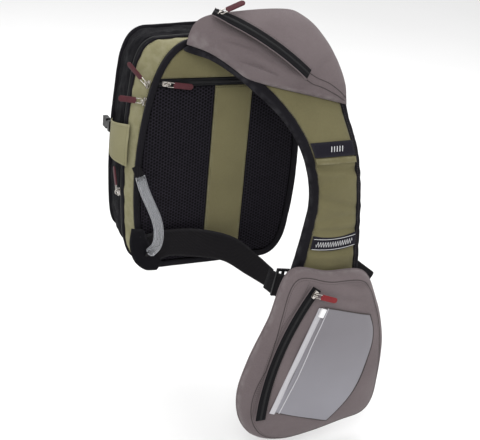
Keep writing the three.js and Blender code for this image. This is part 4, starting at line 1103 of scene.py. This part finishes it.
def strapPiece(name, v0, v1, low, high, material, slot, node, u0=0.0, u1=1.0, steps=(240, 30),
               power=(150, 16), face=None, under=None):
    place = lambda u, v: (u0 + (u1 - u0) * u, v0 + (v1 - v0) * v)

    def upper(u, v):
        a, b = place(u, v)
        return onStrap(a, b, high + (face(a, b) if face else 0))

    def lower(u, v):
        a, b = place(u, v)
        return onStrap(a, b, low + (under(a, b) if under else 0))

    made = cushion(name, lower, upper, material, "strap", slot, steps, power)
    if node:
        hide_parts(node)
    return made


def addStrap():
    s = strapSettings
    a, b, h = s["innerBinding"], 1 - s["outerBinding"], s["hair"]
    pad = strapPiece("strap_padding", a - 0.02, b + 0.02, 3.4 - s["thick"], -0.2, cloth["olive"],
                     "olive_fabric", "strap_pad", steps=(300, 44), power=(200, 8), face=strapFolds)
    strapPiece("strap_lining_mesh", a - 0.02, b + 0.02, -s["thick"], 3 - s["thick"], spacer, "mesh_fabric",
               "strap_lining",
               steps=(300, 40), power=(200, 10), under=lambda u, v: 0.4 * pores(430 * u, 78 * v, 4.2) - 0.3)
    for name, v0, v1, node, seed in (("inner_binding", 0, a - h, "strap_binding_inner", 62),
                                     ("outer_binding", b + h, 1, "strap_binding_outer", 63)):
        pucker = lambda u, v: (0.8 * ripple(430 * u, 40 * v, seed, 16)
                               + 0.5 * strapFolds(u, np.full_like(v, 0.5)))
        strapPiece(name, v0, v1, -s["thick"], 0.5, cloth["binding"], "binding", node, steps=(420, 16),
                   power=(300, 3.2), face=pucker)
    u = np.linspace(0.005, 0.995, 500)
    for k, v in enumerate((a - h - 0.016, b + h + 0.016)):
        path = onStrap(u, np.full_like(u, v), 0.55)
        stitches(f"strap_stitches_{k + 1}", path, strapNormal(u, np.full_like(u, v)), cloth["seam"], "strap",
                 "binding")
    addLabels()
    addStrapEnd()


labelSettings = {
    "upper": {"from": 0.525, "to": 0.58, "marks": 5},
    "lower": {"from": 0.85, "to": 0.895, "bars": (0.12, 0.88), "marks": 15},
    "hem": {"from": 0.583, "to": 0.603},
}


def addLabels(s=labelSettings):
    a, b = strapSettings["innerBinding"] - 0.012, 1 - strapSettings["outerBinding"] + 0.012
    bow = lambda u, v: 0.4 * ripple(430 * u, 78 * v, 66, 30)
    strapPiece("upper_woven_label", a, b, 0.3, 1.5, ribbonLabel, "label", "upper_label", s["upper"]["from"],
               s["upper"]["to"], (30, 60), (60, 60), bow)
    sag = lambda v: 0.01 * np.sin(math.pi * v)
    low = s["lower"]
    place = lambda u, v: onStrap(low["from"] + (low["to"] - low["from"]) * u + sag(v), a + (b - a) * v, 0.3)
    over = lambda u, v: onStrap(low["from"] + (low["to"] - low["from"]) * u + sag(v), a + (b - a) * v,
                                1.6 + bow(u, v))
    lower = cushion("lower_woven_label", place, over, ribbonLabel, "strap", "label", (30, 60), (60, 60))
    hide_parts("lower_label")
    at = lambda u, v, lift=1.72: onStrap(low["from"] + (low["to"] - low["from"]) * u + sag(v), v, lift)
    v = np.linspace(a + 0.02, b - 0.02, 120)
    for k, share in enumerate(low["bars"]):
        path = at(np.full_like(v, share), v)
        seamCord(f"lower_label_bar_{k + 1}", path, strapNormal(np.full_like(v, 0.87), v), cloth["pale"],
                 "strap", "label", 0.45)
    v = np.linspace(a + 0.07, b - 0.07, low["marks"] * 8 + 1)
    zigzagTurns = math.tau * low["marks"] * (v - v[0]) / (v[-1] - v[0])
    zigzag = 0.5 + 0.2 * (2 / math.pi) * np.arcsin(np.sin(zigzagTurns))
    seamCord("lower_label_zigzag", at(zigzag, v), strapNormal(np.full_like(v, 0.87), v), cloth["pale"],
             "strap", "label", 0.42)
    top = s["upper"]
    for k in range(top["marks"]):  # short slanted strokes side by side
        q = np.linspace(0, 1, 12)
        v = 0.46 + 0.05 * k + 0.03 * q
        path = onStrap(top["from"] + (top["to"] - top["from"]) * (0.68 - 0.36 * q), v, 1.85)
        seamCord(f"upper_label_stroke_{k + 1}", path, strapNormal(np.full_like(v, 0.55), v), cloth["pale"],
                 "strap", "label", 0.7)
    hem = s["hem"]
    fold = lambda u, v: 1.6 + 0.5 * ripple(300 * u, 80 * v, 67, 40)
    strapPiece("strap_folded_hem", a, b, 0.2, 0.6, cloth["olive"], "olive_fabric", None, hem["from"],
               hem["to"], (20, 60), (4, 60), fold)


ribbonLabel = ribbedMaterial("woven label", 0.0008, (0.008, 0.007, 0.012), (0.020, 0.018, 0.028), 0.6, 0.7)
strapEnd = {"outline": [[72, 12], [120, 26], [192, 30], [234, -2], [222, -22], [120, -20], [68, -16]],
            "from": -104.6, "thick": 2}


def addStrapEnd(s=strapEnd):
    corners = np.array(s["outline"], float)
    closed = np.vstack([corners, corners[:1]])
    rim = evenly(closed, 241)[0][:-1]
    for _ in range(5):
        rim = (np.roll(rim, 1, 0) + 2 * rim + np.roll(rim, -1, 0)) / 4
    centre = rim.mean(0)
    polar = np.arctan2(rim[:, 1] - centre[1], rim[:, 0] - centre[0]) % math.tau
    order, far = np.argsort(polar), np.hypot(*(rim - centre).T)
    radius = lambda a: np.interp(a % math.tau, polar[order], far[order], period=math.tau)
    thin = lambda share: np.sqrt(np.clip(1 - share**20, 0, 1))
    middle = s["from"] + s["thick"] / 2
    wave = lambda x, z: 0.5 * ripple(x, z, 71, 40)
    made = dome("strap_end_web", tuple(centre), radius, lambda x, z, q: middle - thin(q) * 0.95 + wave(x, z),
                lambda x, z, q: middle + thin(q) * 0.95 + wave(x, z), webbing, "strap", "webbing", 240, 30)
    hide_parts("strap_end_webbing")


# ---- shoulder pocket
shoulderPocket = {"innerEnd": 0.25, "outerEnd": 0.395, "height": 48, "lowHeight": 16, "lean": 14, "wall": 0.4}


def pocketPlace(s, t):  # the pocket's place on the strap: s across, t from the bag to the front edge
    k = shoulderPocket
    return t * (k["innerEnd"] + (k["outerEnd"] - k["innerEnd"]) * np.sqrt(s)), 0.02 + 0.96 * s


def onPocket(s, t, height):
    # over the strap by 1 + (48 - 32 t)(0.42 + 0.58 sqrt(1 - |2s - 1|^6)), leaning back by 14 (1 - t)^4
    k = shoulderPocket
    s, t = np.broadcast_arrays(np.asarray(s, float), np.asarray(t, float))
    u, v = pocketPlace(s, t)
    pocketArch = 0.42 + 0.58 * np.sqrt(1 - np.abs(2 * s - 1) ** 6)
    high = 1 + (k["height"] + (k["lowHeight"] - k["height"]) * t) * pocketArch
    high = high * (1 - k["wall"] * smooth(t, 0.84, 1.0))
    p = onStrap(u, v, high + height)
    p[..., 1] += k["lean"] * (1 - t) ** 4
    return p


# slack in the cloth: broad ripples, a dent by the zip's low end, folds at the front hem
def pocketFolds(s, t):
    total = 0.9 * ripple(170 * s, 150 * t, 81, 75)
    for s0, t0, slant, wide, deep in ((0.16, 0.8, 0.5, 0.05, 2.6), (0.40, 0.93, -0.2, 0.045, 2.6),
                                      (0.62, 0.86, -0.5, 0.05, 1.5), (0.74, 0.72, -0.7, 0.04, 1.2),
                                      (0.05, 0.45, 0.8, 0.05, 1.5)):
        away = ((t - t0) - slant * (s - s0)) / wide
        total = total - 2.2 * deep * np.exp(-(away**2) - ((s - s0) / 0.16) ** 2)
    return total * (1 - 0.85 * nearZip(s, t))


def nearZip(s, t):  # 1 close to the zip's line across the pocket, 0 away from it
    a, b = np.array([0.14, 0.12]), np.array([0.48, 0.86])
    way = b - a
    q = np.clip(((s - a[0]) * way[0] + (t - a[1]) * way[1]) / (way @ way), 0, 1)
    return np.exp(-(np.hypot(s - a[0] - q * way[0], t - a[1] - q * way[1]) / 0.07) ** 2)


def circleThrough(a, b, c):  # centre from |p|^2 q - |q|^2 p crossed with the axis, over twice its square
    p, q = a - c, b - c
    axis = np.cross(p, q)
    centre = np.cross(p @ p * q - q @ q * p, axis) / (2 * axis @ axis) + c
    return centre, np.linalg.norm(a - centre), axis / np.linalg.norm(axis)


zipArcSettings = {"head": (0.14, 0.12), "middle": (0.3, 0.5), "tail": (0.48, 0.86), "halfWide": 9,
                  "radius": 285.10}


def addShoulderPocket():
    under = lambda t, s: onStrap(*pocketPlace(s, t), 1.4)
    over = lambda t, s: onPocket(s, t, pocketFolds(s, t))
    pocket = cushion("shoulder_pocket_cloth", under, over, cloth["grey"], "strap", "grey_fabric", (190, 190),
                     (26, 26), 0.0)
    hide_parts("shoulder_pocket")
    z = zipArcSettings
    head, middle, tail = (onPocket(*z[k], 0.0) for k in ("head", "middle", "tail"))
    centre, _, axis = circleThrough(head, middle, tail)
    start = unit(head - centre - (head - centre) @ axis * axis)
    end = unit(tail - centre - (tail - centre) @ axis * axis)
    side = np.cross(axis, start)
    sweepAngle = math.acos(start @ end) * np.sign(side @ end)

    def onArc(share, beside, above):
        a = sweepAngle * np.asarray(share, float)
        out = np.cos(a)[..., None] * start + np.sin(a)[..., None] * side
        return centre + out * (z["radius"] + above) + np.asarray(beside, float)[..., None] * axis

    share = np.linspace(0, 1, 90)
    path = onArc(share, 0, 0.8)
    out = unit(path - centre)
    taper = 0.68 + 0.32 * smooth(share, 0.0, 0.22)
    tapeBar = np.array(roundBar(-z["halfWide"], z["halfWide"], -0.8, 0.5, 16, 7))[None]
    section = tapeBar * np.stack([taper, taper**0], -1)[:, None]
    made = sweep("shoulder_zip_tape", path, out, section, tape, "strap", "zip_tape")
    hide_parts("shoulder_pocket_zip")
    addCoil("shoulder_zip_coil", path + 0.45 * out, out, "strap")
    for k, beside in enumerate((-z["halfWide"] - 0.5, z["halfWide"] + 0.5)):
        seamCord(f"shoulder_zip_fold_{k + 1}", onArc(share, beside * taper, 0.1), out, cloth["grey"], "strap",
                 "grey_fabric", 0.7)
        rows = onArc(share, beside * taper * 1.3, -0.4)
        stitches(f"shoulder_zip_stitches_{k + 1}", rows, out, cloth["seam"], "strap", "grey_fabric")
    for k, (s0, t0, s1, t1) in enumerate(((0.50, 0.88, 0.93, 0.985), (0.55, 0.80, 0.955, 0.955))):
        q = np.linspace(0, 1, 70)
        s, t = s0 + (s1 - s0) * q, t0 + (t1 - t0) * q
        line = onPocket(s, t, pocketFolds(s, t) + 0.1)
        seamCord(f"shoulder_pocket_seam_{k + 1}", line, strapNormal(*pocketPlace(s, t)), cloth["seam"],
                 "strap", "grey_fabric", 0.55)


# ---- chest pocket
chest = {
    "centre": (128, -112), "plane": -131, "back": 4.5, "front": 30,
    "outline": [[71, 37], [130, 28], [192, 21], [222, -28], [241, -88], [245, -150], [240, -208], [226, -229],
                [184, -239],
                [128, -250], [76, -253], [38, -239], [14, -206], [6, -160], [18, -106], [44, -40]],
    # how far the seam lies inside the edge, at every eighth of a turn from the right
    "seamInset": [13, 11, 9, 10, 20, 13, 6, 8],
    # dents: place, turn, half length, half width and depth
    "dents": [((180, 6), -0.2, 36, 6, 6.5), ((150, -8), -0.25, 30, 5, 3.4), ((40, -60), 1.15, 40, 9, 1.6),
              ((60, -215), 0.1, 40, 9, 1.6), ((215, -70), -1.2, 34, 8, 1.8), ((110, -236), 0.05, 50, 6, 1.4)],
}
chestLoop = catmull(np.insert(np.array(chest["outline"], float), 1, 0, axis=1), np.arange(720) / 720,
                    True)[:, [0, 2]]
chestPolar = np.arctan2(chestLoop[:, 1] - chest["centre"][1], chestLoop[:, 0] - chest["centre"][0]) % math.tau
chestFar = np.hypot(chestLoop[:, 0] - chest["centre"][0], chestLoop[:, 1] - chest["centre"][1])
chestOrder = np.argsort(chestPolar)


def chestRadius(angle):  # the outline's distance from the centre, interpolated round it
    return np.interp(angle % math.tau, chestPolar[chestOrder], chestFar[chestOrder], period=math.tau)


def chestSlack(x, z):  # ripples and dents in the cloth, pushed inwards
    total = 1.3 * ripple(x, z, 91, 85)
    for (x0, z0), turn, long, wide, deep in chest["dents"]:
        a = (x - x0) * math.cos(turn) + (z - z0) * math.sin(turn)
        b = (z - z0) * math.cos(turn) - (x - x0) * math.sin(turn)
        total = total + deep * np.exp(-((a / long) ** 2) - (b / wide) ** 2)
    return total


def chestShare(x, z):
    dx, dz = x - chest["centre"][0], z - chest["centre"][1]
    return np.clip(np.hypot(dx, dz) / chestRadius(np.arctan2(dz, dx)), 0, 1)


def chestY(x, z, share):  # plane - 30 sqrt(1 - share^7), slack except where the zip and window lie
    high = np.sqrt(np.clip(1 - share**7, 0, 1))
    return chest["plane"] - high * (chest["front"] - chestSlack(x, z) * (1 - chestFlat(x, z)))


def chestFlat(x, z):  # 1 over the zip and the window, falling to 0 a little way off them
    dx, dz = x - chestZip["centre"][0], z - chestZip["centre"][1]
    off = np.abs(np.hypot(dx, dz) - chestZip["radius"])
    zipBand = 1 - smooth(off, 9, 16)
    paneSlope = 0.36 * (z + 186)
    pane = smooth(x, 70 + paneSlope, 84 + paneSlope) * (1 - smooth(x, 188, 206)) * (1 - smooth(z, -40, -28))
    return np.maximum(zipBand * (z < 20), pane)


def onChest(x, z, lift):  # a point over the pocket's face
    return np.stack([x, chestY(x, z, chestShare(x, z)) - lift, z], -1)


chestZip = {"centre": (437, -204), "radius": 403, "half": 8, "start": 33.5, "end": 1.5}
window = {
    "right": [[200, -40], [211, -72], [205, -120], [188, -172], [150, -220]],
    "left": [[121, -16], [92, -99], [60, -186]],
    "share": -0.03, "weld": 0.07, "rail": (-10, -3),
}


def addChestPocket():
    wearer = np.array([0.0, -1, 0])
    pocket = dome("chest_pocket_cloth", chest["centre"], chestRadius, chestY,
                  lambda x, z, q: chest["plane"] + chest["back"] * (1 - q**4), cloth["grey"], "chest_pocket",
                  "grey_fabric", 320, 70)
    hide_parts("chest_pocket")
    def seamAt(more):
        angle = np.arange(500) * math.tau / 500
        inset = np.interp(angle, np.arange(9) * math.tau / 8, chest["seamInset"] + chest["seamInset"][:1])
        r = chestRadius(angle) - inset - more
        return chest["centre"][0] + r * np.cos(angle), chest["centre"][1] + r * np.sin(angle)

    seamCord("chest_seam", onChest(*seamAt(0), 0.15), wearer, cloth["seam"], "chest_pocket", "grey_fabric",
             0.6, 0, True)
    stitches("chest_seam_stitches", onChest(*seamAt(3), 0.1), wearer, cloth["seam"], "chest_pocket",
             "grey_fabric")
    rim = chest["plane"] - 1.2
    edge = np.stack([chestLoop[:, 0], np.full(720, rim), chestLoop[:, 1]], -1)
    centre3 = np.array([chest["centre"][0], rim, chest["centre"][1]])
    seamCord("chest_rim_piping", centre3 + (edge - centre3) * 0.998, wearer, cloth["grey"], "chest_pocket",
             "grey_fabric", 1.5, 0, True)
    z = chestZip
    a = np.radians(np.linspace(z["start"], z["end"], 140))
    at = lambda off: np.stack([z["centre"][0] - (z["radius"] + off) * np.cos(a),
                               np.full_like(a, chest["plane"] - chest["front"] - gap),
                               z["centre"][1] + (z["radius"] + off) * np.sin(a)], -1)
    zipTape = sweep("chest_zip_tape", at(0) - [0, 0.6, 0], wearer,
                    np.array(roundBar(-z["half"], z["half"], -0.6, 0.55, 16, 8)), tape, "chest_pocket",
                    "zip_tape")
    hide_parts("chest_zip")
    addCoil("chest_zip_coil", at(0) - [0, 1.1, 0], wearer, "chest_pocket")
    for k, off in enumerate((-z["half"] - 0.6, z["half"] + 0.6)):
        seamCord(f"chest_zip_fold_{k + 1}", at(off), wearer, cloth["grey"], "chest_pocket", "grey_fabric",
                 0.6)
        rows = at(off * 1.22)
        stitches(f"chest_zip_stitches_{k + 1}", onChest(rows[:, 0], rows[:, 2], 0.1), wearer, cloth["seam"],
                 "chest_pocket", "grey_fabric")
    addWindow(wearer)


def addWindow(wearer):
    w = window
    place = lambda u, v: between(w["left"], u) + (between(w["right"], u) - between(w["left"], u)) * v[...,
                                                                                                      None]

    def pane(u, v, lift):
        p = place(u, w["share"] + (1 - w["share"]) * v)
        return onChest(p[..., 0], p[..., 1], lift)

    wavy = lambda u, v: 1.5 + 0.5 * ripple(190 * u, 110 * v, 95, 70)
    made = cushion("chest_window_pane", lambda u, v: pane(u, v, 0.3), lambda u, v: pane(u, v, wavy(u, v)),
                   clearWindow, "chest_pocket", "clear_window", (90, 60), (80, 60), wear=False)
    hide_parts("chest_window")
    q = np.linspace(0, 1, 80)
    sides = {"bottom": np.stack([q * 0 + 1, q], -1), "right": np.stack([q, q * 0 + 1], -1),
             "top": np.stack([q * 0, q], -1)}
    for name, uv in sides.items():
        p = pane(uv[:, 0], uv[:, 1], 1.3)
        seamCord(f"window_{name}_seam", p, wearer, cloth["seam"], "chest_pocket", "grey_fabric", 0.8)
    top, bottom = np.array(w["left"][0], float), np.array(w["left"][-1], float)
    middle = (w["rail"][0] + w["rail"][1]) / 2
    face = chest["plane"] - chest["front"] - gap
    line = top + (bottom - top) * np.linspace(0, 1, 90)[:, None]
    path = np.stack([line[:, 0] + middle, np.full(90, face - 0.7), line[:, 1]], -1)
    profile = np.array([[-3.4, -0.6], [6.2, -0.6], [6.2, 0.1], [2.2, 0.2], [1.7, 1.0], [0.9, 1.0], [0.5, 0.2],
                        [-0.5, 0.2], [-0.9, 1.0], [-1.7, 1.0], [-2.2, 0.2], [-3.4, 0.1]])
    rail = sweep("window_rail_track", path, wearer, profile, clearRail, "chest_pocket", "clear_tube")
    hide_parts("window_rail")
    seam = pane(np.linspace(0, 1, 80), np.full(80, w["weld"]), 1.7)
    seamCord("window_weld_line", seam, wearer, clearRail, "chest_pocket", "clear_tube", 0.9)


# ---- zip sliders and rubber pulls
hingeLift = 5.7
zips = {  # each zip's outward normal, its track, its pull's way and the pull's rubber
    "rear_upper": ((-0.97005, 0, 0.24291), (0.24291, 0, 0.97005), (-19, 20, 23), pullRubber),
    "rear_lower": ((-0.97909, 0, 0.20345), (0.20345, 0, 0.97909), (-21, 24, -3), pullRubber),
    "main_left": ((-0.99934, 0, -0.03636), (-0.03636, 0, 0.99934), (-0.05636, 0.3, 0.99934), pullRubber),
    "main_right": ((0.99934, 0, -0.03636), (0.03636, 0, 0.99934), (0.05636, 0.3, 0.99934), pullRubber),
    "back_pocket": ((0, -1, 0), (1, 0, 0), (1, -0.05, -0.12), pullRubber),
    "shoulder_pocket": (None, (0.77323, -0.57097, -0.27588), (40, 2, 16), pullRubber),
    "chest_pocket": ((0, -1, 0), (-0.52696, 0, -0.84989), (51, -1, -19), pullBright),
    "front_pocket": ((0, 1, 0), (1, 0, 0), (-0.5, 0.1, -1), pullRubber),
}


def blob(size, power=3.0, steps=(18, 24)):  # a superellipsoid's grid: rounded box of the given half sizes
    a = np.linspace(-math.pi / 2, math.pi / 2, steps[0] + 1)[:, None]
    b = (np.arange(steps[1]) * math.tau / steps[1])[None]
    bend = lambda x: np.sign(x) * np.abs(x) ** (2 / power)
    return np.stack([size[0] * bend(np.cos(a)) * bend(np.cos(b)), size[1] * bend(np.cos(a)) * bend(np.sin(b)),
                     size[2] * bend(np.sin(a)) * np.ones_like(b)], -1)


# local grids turned by axes' rows and moved to a point, as one list of points and quads
def placed(grids, at, axes):
    points, quads, start = [], [], 0
    for g, wrapRows in grids:
        rows, cols = g.shape[:2]
        points.append(at + g.reshape(-1, 3) @ axes)
        quads.append(gridFaces(rows, cols, wrapRows, True) + start)
        start += rows * cols
    return np.concatenate(points), np.concatenate(quads)


# a round wire's grid along local points, pinched shut at open ends
def wire(path, radius, closed=False, steps=8):
    path = np.asarray(path, float)
    tangent = unit(np.roll(path, -1, 0) - np.roll(path, 1, 0)) if closed else unit(np.gradient(path, axis=0))
    side = unit(np.cross(tangent, np.array([0.31, 0.17, 0.93])))
    above = np.cross(tangent, side)
    a = np.arange(steps) * math.tau / steps
    thick = np.full(len(path), float(radius))
    if not closed:
        thick[[0, -1]] = 0.01
    wireRing = np.cos(a)[None, :, None] * side[:, None] + np.sin(a)[None, :, None] * above[:, None]
    return path[:, None] + thick[:, None, None] * wireRing


def roundedLoop(x0, x1, half, steps=12):  # a flat stadium-like loop in local x and y
    a = np.linspace(0, math.pi, steps)
    near = np.stack([x0 + half * 0.6 - half * 0.6 * np.sin(a), half * np.cos(a), 0 * a], -1)
    far = np.stack([x1 - half * 0.6 + half * 0.6 * np.sin(a), -half * np.cos(a), 0 * a], -1)
    return np.concatenate([near, far])


def pullGrids():
    # local axes: x along the pull, y across, z up; a tongue whose thickness and width follow ribs |sin|
    x = np.concatenate([[9.0], 9.0 + 29.0 * (0.5 - 0.5 * np.cos(np.linspace(0, math.pi, 90)))[1:-1], [38.0]])
    a = np.arange(28) * math.tau / 28
    end = np.sqrt(np.clip(1 - ((x - 33.6) / 4.4) ** 2, 0, 1)) * (x > 33.6) + (x <= 33.6)
    start = smooth(x, 8.8, 11.0)
    ribs = np.abs(np.sin(math.pi * (x - 13) / 2.6)) * (x > 13) * (x < 33)
    half = 4.35 * end * np.sqrt(np.clip(start, 0.02, 1)) * (1 - 0.03 * ribs)
    pinchedEnds = 1.45 * np.sqrt(np.clip(start, 0.02, 1)) * np.sqrt(np.clip(end, 0.02, 1))
    thick = np.maximum(pinchedEnds * (0.78 + 0.22 * ribs), 0.02)
    half = np.maximum(half, 0.02)
    bend = lambda c: np.sign(c) * np.abs(c) ** 0.62
    return np.stack([x[:, None] * np.ones(28), half[:, None] * bend(np.cos(a)),
                     thick[:, None] * bend(np.sin(a))], -1)


def addZipper(name, normal, track, way, rubber):
    hinge = np.array(joints[name + "_pull_swing"]["pos_m"], float) * 1000 + shoulderRest
    slider, pull = name + "_slider", name + "_pull"
    track, way = unit(np.array(track, float)), np.array(way, float)
    if normal is None:
        axis = np.array(joints[slider[:-7] + "_slide"]["axis"], float)
        normal = np.cross(track, axis)
        normal = normal * np.sign(normal[2])
    n = unit(np.array(normal, float))
    foot = hinge - hingeLift * n
    t = unit(track - track @ n * n)
    axes = np.array([t, np.cross(n, t), n])
    nose = blob((6.2, 3.4, 0.62), 4.5)
    nose[..., 1] *= (0.72 + 0.28 * smooth(-nose[..., 0], -5, 1))
    nose[..., 2] += 3.55
    sole = blob((6.0, 3.3, 0.5), 4.5)
    sole[..., 1] *= (0.78 + 0.22 * smooth(-sole[..., 0], -5, 1))
    sole[..., 2] += 1.0
    post = blob((1.7, 0.9, 1.2), 4)
    post += [2.9, 0, 2.2]
    body, faces = placed([(nose, False), (sole, False), (post, False)], foot, axes)
    p = unit(way - way @ n * n)
    bailAxes = np.array([p, np.cross(n, p), n])
    a = np.linspace(0, math.pi, 20)
    arch = np.stack([3.5 * np.cos(a), 0 * a, 3.8 + 4.1 * np.sin(a) ** 0.7], -1)
    bail, bailFaces = placed([(wire(arch, 0.85, False, 10), False)], foot, bailAxes)
    points = np.concatenate([body, bail])
    made = putMesh(slider + "_metal", points, np.concatenate([faces, bailFaces + len(body)]), nickel, slider,
                   "nickel")
    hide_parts(slider)
    along = unit(way)
    across = unit(np.cross(n, along))
    pullAxes = np.array([along, across, np.cross(along, across)])
    tongue, tongueFaces = placed([(pullGrids(), False)], hinge, pullAxes)
    rubberPiece = putMesh(pull + "_rubber", tongue, tongueFaces, rubber, pull, "pull_rubber")
    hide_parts(pull)
    link, linkFaces = placed([(wire(roundedLoop(0.0, 11.0, 3.1), 0.68, True, 10), True)], hinge, pullAxes)
    putMesh(pull + "_link", link, linkFaces, nickel, pull, "nickel")


# ---- build
addBackPanel()
print("back panel")
addRings()
print("rings")
addFront()
for side, sign in (("left", -1), ("right", 1)):
    addTab(side + "_tab", sign)
addHardPieces()
print("front, tabs and buckles")
addTube()
addWebbing()
print("tube and webbing")
addStrap()
print("strap")
addShoulderPocket()
print("shoulder pocket")
addChestPocket()
print("chest pocket")
for name, (normal, track, way, rubber) in zips.items():
    addZipper(name, normal, track, way, rubber)
print("zippers")


# ---- floor
floorDrop = 0.02


def addFloor():  # one pale square under the lowest point, wide enough to fill every view
    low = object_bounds()[0][2]
    z = low - floorDrop
    points = np.array([[-6, -6, z], [6, -6, z], [6, 6, z], [-6, 6, z]], float)
    mesh = bpy.data.meshes.new("floor")
    mesh.from_pydata(points.tolist(), [], [[0, 1, 2, 3]])
    n = Nodes("pale floor")
    color = n.mix(n.noise(1.5), (0.86, 0.86, 0.86), (0.9, 0.9, 0.9))
    mesh.materials.append(n.finish(color, 0.9))
    floor = bpy.data.objects.new("floor", mesh)
    bpy.context.scene.collection.objects.link(floor)


addFloor()
bpy.context.scene.view_settings.view_transform = "Standard"
